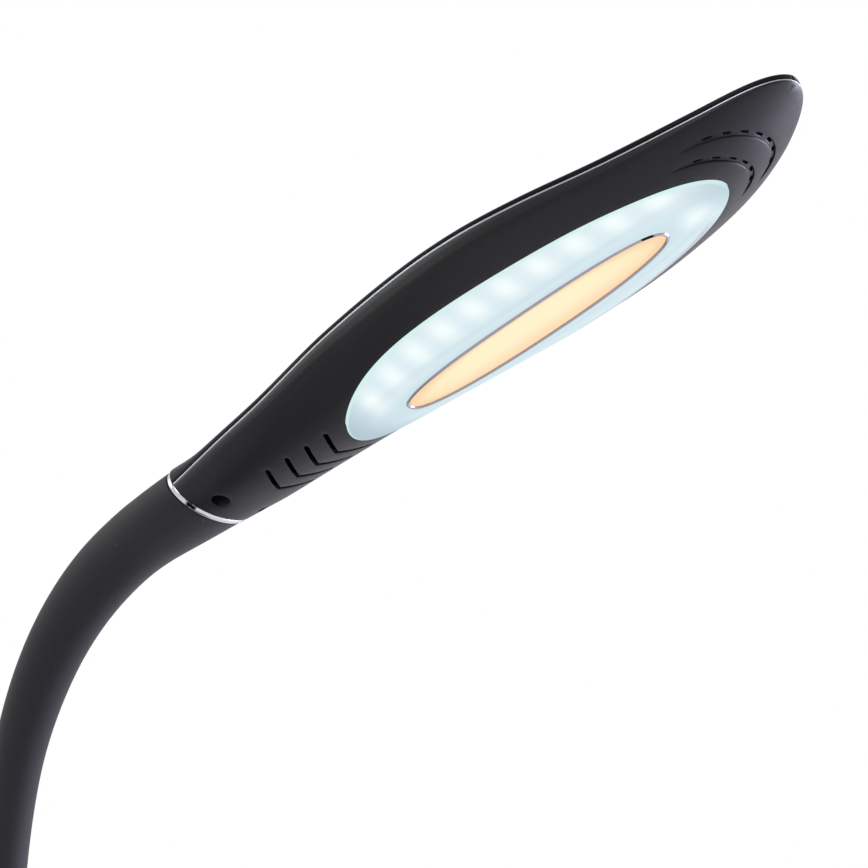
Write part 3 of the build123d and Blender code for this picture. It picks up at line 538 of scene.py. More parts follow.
@dataclass
class Piece:
    """One finished piece of the lamp and where it belongs."""

    name: str
    skin: Skin
    place: Matrix
    finish: bpy.types.Material
    slot: str
    body: str = ""
    stands_for: tuple[str, ...] = ()
    sharp_angle: float = 35.0

    def make(self) -> bpy.types.Object:
        """Builds the mesh object, smooth but for its sharp edges, parents it to its body and hides
        the nodes it stands for.
        """
        mesh = bpy.data.meshes.new(self.name)
        points = [self.place @ point for point in self.skin.points]
        mesh.from_pydata(points, [], self.skin.faces)
        tidy = bmesh.new()
        tidy.from_mesh(mesh)
        loose = [vert for vert in tidy.verts if not vert.link_faces]
        bmesh.ops.delete(tidy, geom=loose, context="VERTS")
        bmesh.ops.recalc_face_normals(tidy, faces=tidy.faces)
        open_edges = sum(1 for edge in tidy.edges if len(edge.link_faces) != 2)
        tidy.to_mesh(mesh)
        tidy.free()
        mesh.shade_smooth()
        mesh.set_sharp_from_angle(angle=math.radians(self.sharp_angle))
        mesh.materials.append(self.finish)
        piece = bpy.data.objects.new(self.name, mesh)
        bpy.context.scene.collection.objects.link(piece)
        if self.body:
            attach(piece, self.body)
        if self.stands_for:
            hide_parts(*self.stands_for)
        log.info("%s: %d faces, %d open edges", self.name, len(mesh.polygons), open_edges)
        return piece


# ---- outlines seen from above -------------------------------------------------
def ellipse_outline(centre: float, length: float, width: float, count: int,
                    fullness: float = 2.0) -> Outline:
    """Oval about a place on the head's middle line.

    Args:
        centre: its place along the head.
        length: half length.
        width: half width.
        count: number of points.
        fullness: 2 is an ellipse, and more is squarer.

    Returns:
        The points, anticlockwise.
    """
    points = []
    for i in range(count):
        angle = 2 * math.pi * i / count
        along, across = (math.copysign(abs(v) ** (2 / fullness), v)
                         for v in (math.cos(angle), math.sin(angle)))
        points.append(Vector((centre + length * along, width * across)))
    return points


def stroke_outline(path: Sequence[Vector], half_width: float, arc_step: float = 20.0) -> Outline:
    """Outline round a bent line, with round ends and a round outer corner.

    Args:
        path: the line's points.
        half_width: half of the stroke's width.
        arc_step: largest turn between two points of a round end, in degrees.

    Returns:
        The points, anticlockwise.
    """
    walk = list(path) + list(reversed(path[1:-1]))
    outline = []
    for i, here in enumerate(walk):
        inward = (here - walk[i - 1]).normalized()
        outward = (walk[(i + 1) % len(walk)] - here).normalized()
        turn = math.atan2(inward.cross(outward), inward.dot(outward))
        if abs(turn) > math.pi - 1e-6:
            turn = math.pi
        start = math.atan2(-inward.x, inward.y)
        if turn < 0:
            angle = start + turn / 2
            reach = half_width / math.cos(turn / 2)
            outline.append(here + reach * Vector((math.cos(angle), math.sin(angle))))
            continue
        steps = max(1, math.ceil(math.degrees(turn) / arc_step))
        for k in range(steps + 1):
            angle = start + turn * k / steps
            outline.append(here + half_width * Vector((math.cos(angle), math.sin(angle))))
    return outline


def grown(outline: Sequence[Vector], distance: float) -> Outline:
    """Moves an anticlockwise outline outwards by a distance."""
    moved = []
    for i, here in enumerate(outline):
        before = (here - outline[i - 1]).normalized()
        after = (outline[(i + 1) % len(outline)] - here).normalized()
        normal = Vector((before.y + after.y, -before.x - after.x)).normalized()
        lean = max(0.5, normal.dot(Vector((after.y, -after.x))))
        moved.append(here + normal * (distance / lean))
    return moved


def evenly(outline: Sequence[Vector], spacing: float) -> Outline:
    """Divides an outline's long sides."""
    points = []
    for i, here in enumerate(outline):
        there = outline[(i + 1) % len(outline)]
        parts = max(1, round((there - here).length / spacing))
        points += [here.lerp(there, k / parts) for k in range(parts)]
    return points


def raised(outline: Sequence[Vector], height: Height) -> Outline:
    """Gives each place of an outline its height."""
    return [Vector((p.x, p.y, height(p.x, p.y))) for p in outline]


# ---- head: the form that its pieces share ---------------------------------------
def smooth(points: Sequence[tuple[float, float]], x: float) -> float:
    """Value at x of a soft curve through points.

    Args:
        points: places and their values.
        x: the place to read.

    Returns:
        The value.
    """
    if x <= points[0][0]:
        return points[0][1]
    if x >= points[-1][0]:
        return points[-1][1]
    i = max(k for k, point in enumerate(points[:-1]) if point[0] <= x)
    slopes = []
    for k in (i, i + 1):
        before, after = points[max(k - 1, 0)], points[min(k + 1, len(points) - 1)]
        slopes.append((after[1] - before[1]) / (after[0] - before[0]))
    (x0, y0), (x1, y1) = points[i], points[i + 1]
    span = x1 - x0
    t = (x - x0) / span
    start = y0 * (1 + 2 * t) * (1 - t) ** 2 + y1 * t * t * (3 - 2 * t)
    return start + span * (slopes[0] * t * (1 - t) ** 2 - slopes[1] * t * t * (1 - t))


@dataclass(frozen=True)
class HeadForm:
    """Leaf-shaped form of the head, in its own frame."""

    length: float = 289.0
    tip: float = 288.95
    pitch: float = 19.5
    ring_slant: float = 21.0
    ring_face: float = 1.2
    joint_gap: float = 0.3
    tip_sharpness: float = 5.1
    crown_sharpness: float = 8.0
    crown_least: float = 0.36
    settling_steps: int = 12
    seam_line: tuple = ((0.0, 0.8), (0.1, 2.3), (0.2, 3.6), (0.35, 7.6), (0.5, 7.9),
                        (0.69, 6.2), (0.81, 5.6), (0.91, 8.0), (1.0, 13.4))
    underside_line: tuple = ((0.0, -13.5), (0.1, -13.2), (0.3, -13.5), (0.42, -13.9),
                             (0.57, -12.7), (0.71, -10.7), (0.8, -7.9), (0.9, -1.3),
                             (0.95, 5.1), (1.0, 12.6))
    half_width_line: tuple = ((0.0, 19.2), (0.15, 27.8), (0.35, 37.5), (0.6, 48.6),
                              (0.8, 44.3), (1.0, 37.3))
    crown_line: tuple = ((0.0, 10.2), (0.07, 6.1), (0.2, 5.2), (1.0, 5.1))
    flank_line: tuple = ((0.0, 2.8), (0.2, 3.4), (0.5, 5.3), (0.8, 3.0), (1.0, 0.4))
    dome_line: tuple = ((0.0, 0.97), (0.12, 0.94), (0.3, 0.25), (0.5, 0.25), (1.0, 0.25))

    def frame(self) -> Matrix:
        """Matrix from the head's millimetres to the lamp's metres."""
        low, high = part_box("end_ring")
        tipped = Matrix.Rotation(math.radians(-self.pitch), 4, "Y")
        return Matrix.Translation((low + high) / 2) @ tipped @ Matrix.Scale(MM, 4)

    def half_width(self, x: float) -> float:
        """Half width at the seam."""
        closing = max(0.0, 1 - (max(x, 0.0) / self.tip) ** self.tip_sharpness)
        return smooth(self.half_width_line, x / self.length) * math.sqrt(closing)

    def seam(self, x: float) -> float:
        """Height of the seam between the shells."""
        return smooth(self.seam_line, x / self.length)

    def underside(self, x: float) -> float:
        """Height of the underside on the middle line."""
        return smooth(self.underside_line, x / self.length)

    def crown(self, x: float) -> float:
        """Rise of the top shell above its skirt."""
        closing = max(0.0, 1 - (max(x, 0.0) / self.length) ** self.crown_sharpness)
        return smooth(self.crown_line, x / self.length) * math.sqrt(closing) + self.crown_least

    def bowl(self, x: float, y: float) -> float:
        """Height of the underside over a place.

        The section is a dome between two upright flanks. Near the ring the dome is almost a
        half ellipse, and farther out it is flatter and meets the flanks in a crease.

        Args:
            x: place along the head.
            y: place across the head.

        Returns:
            The height.
        """
        wide = max(self.half_width(x), 0.01)
        seam = self.seam(x)
        deep = seam - self.underside(x)
        flank = smooth(self.flank_line, x / self.length)
        reach = smooth(self.dome_line, x / self.length)
        cut = math.sqrt(1 - reach * reach)
        q = min(abs(y) / wide, 1.0)
        dome = (math.sqrt(1 - (reach * q) ** 2) - cut) / (1 - cut)
        return seam - flank - (deep - flank) * dome

    def ring_cut(self, height: float) -> float:
        """Place along the head where it meets the bright ring's slanted face."""
        slant = math.radians(self.ring_slant)
        reach = self.ring_face + self.joint_gap
        return (reach - height * math.sin(slant)) / math.cos(slant)

    def start(self, height: Callable[[float], float]) -> float:
        """Place where a line along the head, of a height that changes with x, meets the ring."""
        x = 0.0
        for _ in range(self.settling_steps):
            x = self.ring_cut(height(x))
        return x

    def rim(self, count: int, inward: float, height: Height) -> Outline:
        """Line that follows the head's outline from ring to tip and back to the ring.

        Args:
            count: number of steps on each side.
            inward: how far inside the outline it runs.
            height: height over a place.

        Returns:
            Points from the ring on the right side to the ring on the left side.
        """
        start = self.start(lambda x: height(x, max(self.half_width(x) - inward, 0.0)))

        def plan(share: float) -> Vector:
            """Place on the right side at a share of the way to the tip."""
            x = self.tip - (self.tip - start) * (1 - share) ** 2
            return Vector((x, -self.half_width(x)))

        right = []
        small = 0.25 / count
        for i in range(count + 1):
            share = i / count
            here = plan(share)
            along = plan(min(share + small, 1.0)) - plan(share - small)
            normal = Vector((along.y, -along.x)).normalized() if i < count else Vector((1.0, 0.0))
            if i == count:
                here = Vector((self.tip, 0.0))
            inside = here - normal * inward
            if i == 0:
                inside = Vector((start, -(self.half_width(start) - inward)))
            right.append(inside)
        left = [Vector((p.x, -p.y)) for p in reversed(right[:-1])]
        return raised(right + left, height)


@dataclass
class LowerShell:
    """Satin black shell under the head, with its vents, screw wells and lamp opening."""

    form: HeadForm
    window: "LightWindow"
    wall: float = 1.8
    rim_radius: float = 0.24
    lip_radius: float = 0.16
    crease_inset: float = 0.25
    crease_round: float = 0.22
    grid: float = 2.3
    side_steps: int = 230
    cut_steps: int = 44
    vent_corner: float = 32.9
    vent_pitch: float = 10.05
    vent_count: int = 4
    vent_reach: float = 11.8
    vent_sweep: float = 6.6
    vent_width: float = 1.8
    well_x: float = 14.5
    well_y: float = 11.6
    well_radius: float = 3.3
    well_wall: float = 1.2
    well_floor: float = -5.5
    well_top: float = -4.0
    screw_hole: float = 1.8
    arcs: tuple = ((247.8, 22.4, 54.0, 7), (240.0, 20.0, 49.0, 6))
    arc_overrun: float = 29.0
    arc_lip: float = 0.85
    groove_width: float = 2.0
    groove_depth: float = 0.7
    groove_end_width: float = 0.12
    groove_end_depth: float = 0.04
    groove_taper: int = 6
    groove_steps: int = 56
    groove_grid: float = 0.9
    slot_length: float = 3.5
    slot_width: float = 1.15
    slot_rim: float = 0.08
    slot_rim_drop: float = 0.1
    round_steps: int = 48

    def full_rim(self, x: float, y: float) -> float:
        """Rounding of a full-depth edge, the same over every place."""
        return self.rim_radius

    def inner(self, x: float, y: float) -> float:
        """Height of the shell's inside over a place."""
        step = 0.2
        outer = self.form.bowl(x, y)
        lean_x = (self.form.bowl(x + step, y) - self.form.bowl(x - step, y)) / (2 * step)
        lean_y = (self.form.bowl(x, y + step) - self.form.bowl(x, y - step)) / (2 * step)
        thick = self.wall * math.sqrt(1 + min(lean_x ** 2 + lean_y ** 2, 4.0))
        return min(outer + thick, self.form.seam(x) - 0.25)

    def groove_share(self, arc: tuple, x: float, y: float) -> float:
        """How deep a curved groove is over a place, as a share of its depth in the middle."""
        centre, _, spread, _ = arc
        angle = abs(math.degrees(math.atan2(y, x - centre)))
        return max(self.groove_end_depth,
                   1 - (angle / (spread + self.arc_overrun)) ** self.groove_taper)

    def groove_outline(self, arc: tuple) -> Outline:
        """Crescent of one curved groove.

        Args:
            arc: its centre, radius, angle to either side and number of slots.

        Returns:
            The points, along its outer edge and back along its inner one.
        """
        centre, radius, spread, _ = arc
        reach = math.radians(spread + self.arc_overrun)
        steps = self.groove_steps
        outer, inner = [], []
        for i in range(steps + 1):
            angle = reach * (2 * i / steps - 1)
            ray = Vector((math.cos(angle), math.sin(angle)))
            narrowing = abs(2 * i / steps - 1) ** self.groove_taper
            width = self.groove_end_width + self.groove_width * (1 - narrowing)
            outer.append(Vector((centre, 0)) + ray * (radius + self.arc_lip))
            inner.append(Vector((centre, 0)) + ray * (radius + self.arc_lip - width))
        return outer + list(reversed(inner))

    def slot_outlines(self, arc: tuple) -> list[Outline]:
        """Slots along one curved groove.

        Args:
            arc: the groove's centre, radius, angle to either side and number of slots.

        Returns:
            One outline with round ends for each slot.
        """
        centre, radius, spread, count = arc
        half = (self.slot_length - self.slot_width) / 2
        outlines = []
        for i in range(count):
            angle = math.radians(spread * (2 * i / (count - 1) - 1))
            ray = Vector((math.cos(angle), math.sin(angle)))
            tangent = Vector((-ray.y, ray.x))
            middle = Vector((centre, 0)) + ray * radius
            path = [middle - tangent * half, middle + tangent * half]
            outlines.append(evenly(stroke_outline(path, self.slot_width / 2, 30.0), 0.6))
        return outlines

    def vent_outlines(self) -> list[Outline]:
        """Chevron vents between the ring and the lamp opening."""
        outlines = []
        for i in range(self.vent_count):
            corner = self.vent_corner + i * self.vent_pitch
            path = [Vector((corner + self.vent_sweep, -self.vent_reach)), Vector((corner, 0.0)),
                    Vector((corner + self.vent_sweep, self.vent_reach))]
            outlines.append(evenly(stroke_outline(path, self.vent_width / 2, 22.5), 0.8))
        return outlines

    def rounded_edge(self, skin: Skin, outline: Outline, surface: Height,
                     radius: Height) -> list[list[int]]:
        """Rounded edge of an opening.

        Args:
            skin: the skin to add to.
            outline: the opening at its wall.
            surface: height of the surface that the edge rounds off.
            radius: how far down the rounding reaches over a place.

        Returns:
            Its rows of points, from the surface to the wall.
        """
        rows = []
        steps = 3
        for k in range(steps + 1):
            angle = 0.5 * math.pi * k / steps
            out = grown(outline, self.rim_radius * (1 - math.sin(angle)))
            down = 1 - math.cos(angle)
            rows.append(skin.loop(raised(out, lambda x, y: surface(x, y) + down * radius(x, y))))
        skin.bridge_rows(rows)
        return rows

    def build(self) -> Skin:
        """Builds the shell's closed skin."""
        skin = Skin()
        holes, inner_holes = [], []
        for outline in [self.window.opening(), *self.vent_outlines()]:
            rows = self.rounded_edge(skin, outline, self.form.bowl, self.full_rim)
            wall_end = skin.loop(raised(outline, self.inner))
            skin.bridge(rows[-1], wall_end)
            holes.append(rows[0])
            inner_holes.append(wall_end)
        for side in (-1, 1):
            outer, inside = self.screw_well(skin, side)
            holes.append(outer)
            inner_holes.append(inside)
        for arc in self.arcs:
            outer, slots = self.curved_groove(skin, arc)
            holes.append(outer)
            inner_holes += slots
        self.close(skin, holes, inner_holes)
        return skin

    def screw_well(self, skin: Skin, side: int) -> tuple[list[int], list[int]]:
        """Deep round well of a screw that holds the neck.

        Args:
            skin: the skin to add to.
            side: -1 on the right and 1 on the left.

        Returns:
            The loops where it meets the outer and the inner skin.
        """
        def circle(radius: float) -> Outline:
            """Circle about the well's axis, seen from above."""
            return [p + Vector((0, side * self.well_y))
                    for p in ellipse_outline(self.well_x, radius, radius, self.round_steps)]

        def ring(radius: float, z: float | None = None) -> list[int]:
            """Loop about the well's axis, level or on the shell's inside."""
            return skin.loop(raised(circle(radius), self.inner if z is None else lambda x, y: z))

        rows = self.rounded_edge(skin, circle(self.well_radius), self.form.bowl, self.full_rim)
        boss = self.well_radius + self.well_wall
        inside = ring(boss)
        skin.bridge_rows([
            rows[-1], ring(self.well_radius, self.well_floor),
            ring(self.screw_hole, self.well_floor), ring(self.screw_hole, self.well_top),
            ring(boss, self.well_top), inside])
        return rows[0], inside

    def curved_groove(self, skin: Skin, arc: tuple) -> tuple[list[int], list[list[int]]]:
        """One curved groove with its row of slots.

        Args:
            skin: the skin to add to.
            arc: its centre, radius, angle to either side and number of slots.

        Returns:
            The loop where it meets the outer skin, and its slots' loops on the inner skin.
        """
        def depth(x: float, y: float) -> float:
            """Depth of the groove over a place."""
            return self.groove_depth * self.groove_share(arc, x, y)

        def floor(x: float, y: float) -> float:
            """Height of the groove's floor over a place."""
            return self.form.bowl(x, y) + depth(x, y)

        outline = self.groove_outline(arc)
        rows = self.rounded_edge(skin, outline, self.form.bowl,
                                 lambda x, y: min(self.rim_radius, 0.6 * depth(x, y)))
        floor_loop = skin.loop(raised(outline, floor))
        skin.bridge(rows[-1], floor_loop)
        slot_loops, ends = [], []
        for slot in self.slot_outlines(arc):
            top = skin.loop(raised(grown(slot, self.slot_rim), floor))
            edge = skin.loop(raised(slot, lambda x, y: floor(x, y) + self.slot_rim_drop))
            end = skin.loop(raised(slot, self.inner))
            skin.bridge_rows([top, edge, end])
            slot_loops.append(top)
            ends.append(end)
        skin.fill(floor_loop, slot_loops, floor, self.groove_grid)
        return rows[0], ends

    def close(self, skin: Skin, holes: list[list[int]], inner_holes: list[list[int]]) -> None:
        """Adds the outer and inner skins, the flank, the lip and the end at the ring.

        Args:
            skin: the skin to add to.
            holes: loops of the openings on the outer skin.
            inner_holes: loops of the openings on the inner skin.
        """
        form, inset, bend = self.form, self.crease_inset, self.crease_round

        def flank(share: float) -> Height:
            """Height at a share of the way up the flank."""
            def height(x: float, y: float) -> float:
                """Height over a place near the outline."""
                drop = smooth(form.flank_line, x / form.length)
                return form.seam(x) - drop * (1 - share)
            return height

        def lip(x: float, y: float) -> float:
            """Height of the lip that the seam trim lies on, the same all the way across."""
            return form.seam(x)

        steps = self.side_steps
        lines = [
            form.rim(steps, inset + bend, form.bowl),
            form.rim(steps, 0.62 * inset, flank(0.08)),
            form.rim(steps, 0.4 * inset, flank(0.24)),
            form.rim(steps, 0.2 * inset, flank(0.6)),
            form.rim(steps, 0.04, lambda x, y: lip(x, y) - self.lip_radius),
            form.rim(steps, 0.1, lambda x, y: lip(x, y) - 0.4 * self.lip_radius),
            form.rim(steps, 0.04 + self.lip_radius, lip),
            form.rim(steps, self.wall, lip),
            form.rim(steps, self.wall, self.inner),
        ]
        rows = [skin.loop(line) for line in lines]
        skin.bridge_rows(rows, closed=False)
        outer_cut = self.cut_line(skin, lines[0], form.bowl)
        inner_cut = self.cut_line(skin, lines[-1], self.inner)
        skin.faces.append(tuple(row[0] for row in rows))
        skin.faces.append(tuple(row[-1] for row in reversed(rows)))
        skin.bridge([rows[0][-1], *outer_cut, rows[0][0]],
                    [rows[-1][-1], *inner_cut, rows[-1][0]], closed=False)
        skin.fill([*rows[0], *outer_cut], holes, form.bowl, self.grid)
        skin.fill([*rows[-1], *inner_cut], inner_holes, self.inner, 2 * self.grid)

    def cut_line(self, skin: Skin, line: Outline, height: Height) -> list[int]:
        """Points across the head where a skin ends at the ring.

        Args:
            skin: the skin to add to.
            line: the skin's outline, whose two ends lie on the ring's face.
            height: height of the skin over a place.

        Returns:
            The points between the outline's end and its start.
        """
        left = line[-1].y
        points = []
        for i in range(1, self.cut_steps):
            angle = math.pi * i / self.cut_steps
            y = left * math.cos(angle)
            x = self.form.start(lambda place: height(place, y))
            points.append(Vector((x, y, height(x, y))))
        return skin.loop(points)


@dataclass
class TopShell:
    """Glossy shell over the head."""

    form: HeadForm
    wall: float = 1.8
    trim_height: float = 0.8
    skirt: float = 1.0
    edge_radius: float = 0.2
    stations: int = 170
    end_share: float = 0.986
    arc_steps: int = 48

    def section(self, inward: float, share: float) -> Outline:
        """Line over the head from its right edge to its left edge.

        Args:
            inward: how far inside the shell's surface it runs.
            share: share of the way from the ring to the tip.

        Returns:
            The points.
        """
        form = self.form
        profile: list[tuple[float, float]] = []
        base = self.trim_height
        if inward:
            profile.append((math.pi, 0.0))
        else:
            profile += [(math.pi, 0.0), (math.pi, self.edge_radius)]
        profile += [(math.pi * (1 - i / self.arc_steps), self.skirt)
                    for i in range(self.arc_steps + 1)]
        profile += [(0.0, 0.0)] if inward else [(0.0, self.edge_radius), (0.0, 0.0)]
        points = []
        last = len(profile) - 1
        for i, (angle, up) in enumerate(profile):
            def height(x: float) -> float:
                """Height of this line of the section along the head."""
                least = min(inward, 0.6 * form.crown(x))
                return form.seam(x) + base + up + (form.crown(x) - least) * math.sin(angle)
            start = form.start(height)
            x = form.tip - (form.tip - start) * (1 - share) ** 2
            wide = form.half_width(x)
            wide -= min(inward, 0.6 * wide)
            if not inward and i in (0, last):
                wide -= 0.7 * self.edge_radius
            points.append(Vector((x, wide * math.cos(angle), height(x))))
        return points

    def build(self) -> Skin:
        """Builds the shell's closed skin from ring-shaped sections."""
        skin = Skin()
        rows = []
        for i in range(self.stations + 1):
            share = self.end_share * i / self.stations
            outer = self.section(0.0, share)
            inner = self.section(self.wall, share)
            rows.append(skin.loop([*outer, *reversed(inner)]))
        skin.bridge_rows(rows)
        skin.faces.append(tuple(reversed(rows[0])))
        skin.faces.append(tuple(rows[-1]))
        return skin


@dataclass
class SeamTrim:
    """Thin bright band between the two shells."""

    form: HeadForm
    height: float = 0.8
    depth: float = 3.0
    edge_radius: float = 0.16
    thinning: tuple = ((0.0, 1.0), (0.55, 1.0), (0.8, 0.7), (1.0, 0.55))
    side_steps: int = 230

    def build(self) -> Skin:
        """Sweeps the band's rounded section along the head's outline."""
        r, h = self.edge_radius, self.height
        section = ((self.depth, 0.0), (r, 0.0), (0.3 * r, 0.35 * r), (0.0, 1.4 * r),
                   (0.0, h - 1.4 * r), (0.3 * r, h - 0.35 * r), (r, h), (self.depth, h))
        skin = Skin()
        rows = []
        for inward, up in section:
            def height(x: float, y: float) -> float:
                """Height of this line of the section over a place."""
                return self.form.seam(x) + up * smooth(self.thinning, x / self.form.length)
            rows.append(skin.loop(self.form.rim(self.side_steps, inward, height)))
        skin.bridge_rows([*rows, rows[0]], closed=False)
        skin.faces.append(tuple(row[0] for row in rows))
        skin.faces.append(tuple(row[-1] for row in reversed(rows)))
        return skin


@dataclass
class EndRing:
    """Slanted bright ring between the sleeve and the head."""

    form: HeadForm
    half_width: float = 19.5
    half_height: float = 14.4
    depth: float = 3.0
    thickness: float = 2.4
    edge: float = 0.5
    steps: int = 160

    def build(self) -> Skin:
        """Sweeps a domed section round an ellipse in the ring's slanted plane."""
        slant = math.radians(self.form.ring_slant)
        forward = Vector((math.cos(slant), 0, math.sin(slant)))
        upward = Vector((-math.sin(slant), 0, math.cos(slant)))
        half = self.thickness / 2
        section = [(self.depth, -half)]
        profile_steps = 12
        for i in range(profile_steps + 1):
            share = 2 * i / profile_steps - 1
            section.append((self.edge * abs(share) ** 3.0, half * share))
        section.append((self.depth, half))
        skin = Skin()
        rows = []
        for inward, along in section:
            row = []
            for k in range(self.steps):
                angle = 2 * math.pi * k / self.steps
                side = (self.half_width - inward) * math.cos(angle)
                up = (self.half_height - inward) * math.sin(angle)
                row.append(forward * along + Vector((0, side, 0)) + upward * up)
            rows.append(skin.loop(row))
        skin.bridge_rows([*rows, rows[0]])
        return skin


@dataclass
class LightWindow:
    """Opal diffuser, warm lens and the bezel between them."""

    form: HeadForm
    centre: float = 162.3
    half_length: float = 88.1
    half_width: float = 32.4
    gap: float = 0.3
    proud: float = 0.5
    edge_radius: float = 0.55
    depth: float = 3.0
    bezel_length: float = 61.8
    bezel_width: float = 12.7
    bezel_band: float = 1.7
    bezel_proud: float = 1.0
    lens_proud: float = 0.6
    lens_crown: float = 0.35
    fullness: float = 2.4
    steps: int = 240

    def opening(self) -> Outline:
        """Outline of the opening in the lower shell."""
        return ellipse_outline(self.centre, self.half_length + self.gap,
                               self.half_width + self.gap, self.steps)

    def oval(self, inward: float) -> Outline:
        """Outline inside the bezel's outer edge by a distance."""
        return ellipse_outline(self.centre, self.bezel_length - inward,
                               self.bezel_width - inward, self.steps, self.fullness)

    def measure(self, x: "Signal", y: "Signal", inward: float) -> "Signal":
        """Place as a multiple of an oval inside the bezel's outer edge by a distance."""
        n = self.fullness
        along = abs((x - self.centre) / (self.bezel_length - inward)) ** n
        across = abs(y / (self.bezel_width - inward)) ** n
        return (along + across) ** (1 / n)

    def from_bezel(self, x: "Signal", y: "Signal") -> "Signal":
        """How far outside the bezel a place lies, as a share of the bezel's size."""
        return self.measure(x, y, 0.0) - 1.0

    def across_bezel(self, x: "Signal", y: "Signal") -> "Signal":
        """Share of the way over the bezel, from the lens to the diffuser."""
        outer = self.measure(x, y, 0.0)
        inner = self.measure(x, y, self.bezel_band)
        return (inner - 1.0) / (inner - outer)

    def lifted(self, outline: Outline, proud: float) -> Outline:
        """Gives an outline its place on the head, proud of the shell's underside."""
        return raised(outline, lambda x, y: self.form.bowl(x, y) - proud)

    def diffuser(self) -> Skin:
        """Builds the opal ring between the bezel and the lower shell."""
        skin = Skin()
        outer = ellipse_outline(self.centre, self.half_length, self.half_width, self.steps)
        inner = self.oval(0.0)
        rows = [skin.loop(self.lifted(outer, -self.depth))]
        corner = 5
        for k in range(corner):
            angle = 0.5 * math.pi * k / corner
            out = grown(outer, -self.edge_radius * (1 - math.cos(angle)))
            rows.append(skin.loop(self.lifted(
                out, self.proud - self.edge_radius * (1 - math.sin(angle)))))
        rim = grown(outer, -self.edge_radius)
        across = 20
        for k in range(across + 1):
            share = k / across
            row = [a.lerp(b, share) for a, b in zip(rim, inner)]
            rows.append(skin.loop(self.lifted(row, self.proud)))
        rows.append(skin.loop(self.lifted(inner, -self.depth)))
        skin.bridge_rows([*rows, rows[0]])
        return skin

    def bezel(self) -> Skin:
        """Builds the domed metal oval round the warm lens."""
        skin = Skin()
        rows = [skin.loop(self.lifted(self.oval(0.0), -self.depth))]
        steps = 12
        for k in range(steps + 1):
            share = 2 * k / steps - 1
            proud = self.bezel_proud - 0.75 * abs(share) ** 2.6
            rows.append(skin.loop(self.lifted(self.oval(self.bezel_band * k / steps), proud)))
        rows.append(skin.loop(self.lifted(self.oval(self.bezel_band), -self.depth)))
        skin.bridge_rows([*rows, rows[0]])
        return skin

    def lens(self) -> Skin:
        """Builds the gently crowned warm lens."""
        skin = Skin()
        edge = self.oval(self.bezel_band)
        middle = Vector((self.centre, 0.0))
        rows = [skin.loop(self.lifted(edge, -self.depth))]
        steps = 14
        for k in range(steps):
            share = 1 - k / steps
            row = [middle.lerp(point, share) for point in edge]
            proud = self.lens_proud - self.lens_crown * share ** 4
            rows.append(skin.loop(self.lifted(row, proud)))
        skin.bridge_rows(rows)
        low = skin.loop(self.lifted([middle], self.lens_proud))[0]
        high = skin.loop(self.lifted([middle], -self.depth))[0]
        for i in range(self.steps):
            k = (i + 1) % self.steps
            skin.faces.append((rows[-1][i], rows[-1][k], low))
            skin.faces.append((rows[0][k], rows[0][i], high))
        return skin


@dataclass(frozen=True)
class OpalDiffuser:
    """Milky acrylic, lit from behind by an oval of evenly spaced white emitters."""

    name: str
    form: HeadForm
    window: LightWindow
    tint: Tint = (214, 233, 239)
    bright: Tint = (246, 255, 255)
    shade: Tint = (176, 194, 206)
    near_edge: Tint = (212, 244, 238)
    far_edge: Tint = (200, 198, 212)
    pitch: float = 15.35
    first: float = 95.9
    row_centre: float = 167.0
    row_half_length: float = 84.0
    row_half_width: float = 26.5
    spot_reach: float = 10.5
    between_spots: float = 0.3
    far_row: float = 0.15
    end_spot: tuple[float, float] = (234.4, 5.0)
    end_spot_level: float = 0.8
    power: float = 0.98

    def emitters(self, x: Signal, y: Signal) -> Signal:
        """Light of the emitters at a place: an oval row on the near side, and one at the end.

        Args:
            x: how far along the head the place is.
            y: how far to its left.

        Returns:
            The share of the full light.
        """
        turn = (x - self.row_centre) / self.row_half_length
        line = ((1 - turn * turn).at_least(0.0)).root() * self.row_half_width
        pulse = 0.5 + 0.5 * ((x - self.first) * (2 * math.pi / self.pitch)).cosine()
        lit_length = abs(turn).rise(1.0, 0.88)
        near = abs(y + line).rise(self.spot_reach, 0.0)
        far = abs(y - line).rise(self.spot_reach, 0.0)
        row = (near + self.far_row * far).at_most(1.0) * lit_length
        spots = (self.between_spots + (1 - self.between_spots) * pulse) * row
        off_x, off_y = x - self.end_spot[0], y - self.end_spot[1]
        end = (off_x * off_x + off_y * off_y).root().rise(self.spot_reach, 0.0)
        return (spots + self.end_spot_level * end).at_most(1.0)

    def make(self) -> bpy.types.Material:
        """Builds the material."""
        graph, material = Graph.of_material(self.name)
        x, y, _ = head_axes(graph, self.form)
        window = self.window
        along = (x - window.centre) / window.half_length
        across = y / window.half_width
        reach = (along * along + across * across).root()
        spots = self.emitters(x, y)
        body = graph.mix(spots, colour(*self.tint), colour(*self.bright))
        dim_ends = along.rise(-0.72, -1.0) + 0.6 * along.rise(0.84, 1.0)
        body = graph.mix(0.9 * dim_ends * (1 - 0.6 * spots), body, colour(*self.shade))
        ripples = 0.5 + 0.5 * (window.from_bezel(x, y) * 17.0).cosine()
        fading = window.from_bezel(x, y).rise(0.95, 0.1)
        body = graph.mix(0.16 * ripples * fading, body, colour(*self.shade))
        near_rim = reach.rise(0.986, 0.996) * across.rise(0.3, -0.1)
        far_rim = reach.rise(0.895, 0.925) * across.rise(0.25, 0.5) * abs(along).rise(0.85, 0.7)
        body = graph.mix(0.75 * near_rim, body, colour(*self.near_edge))
        glow = graph.mix(0.85 * far_rim, body, colour(*self.far_edge))
        cloud = graph.noise(30.0, 2.0)
        graph.surface(
            Base_Color=(0.02, 0.021, 0.022, 1.0),
            Emission_Color=glow,
            Emission_Strength=self.power,
            Roughness=0.22 + 0.05 * cloud,
            Specular_IOR_Level=0.0,
        )
        return material


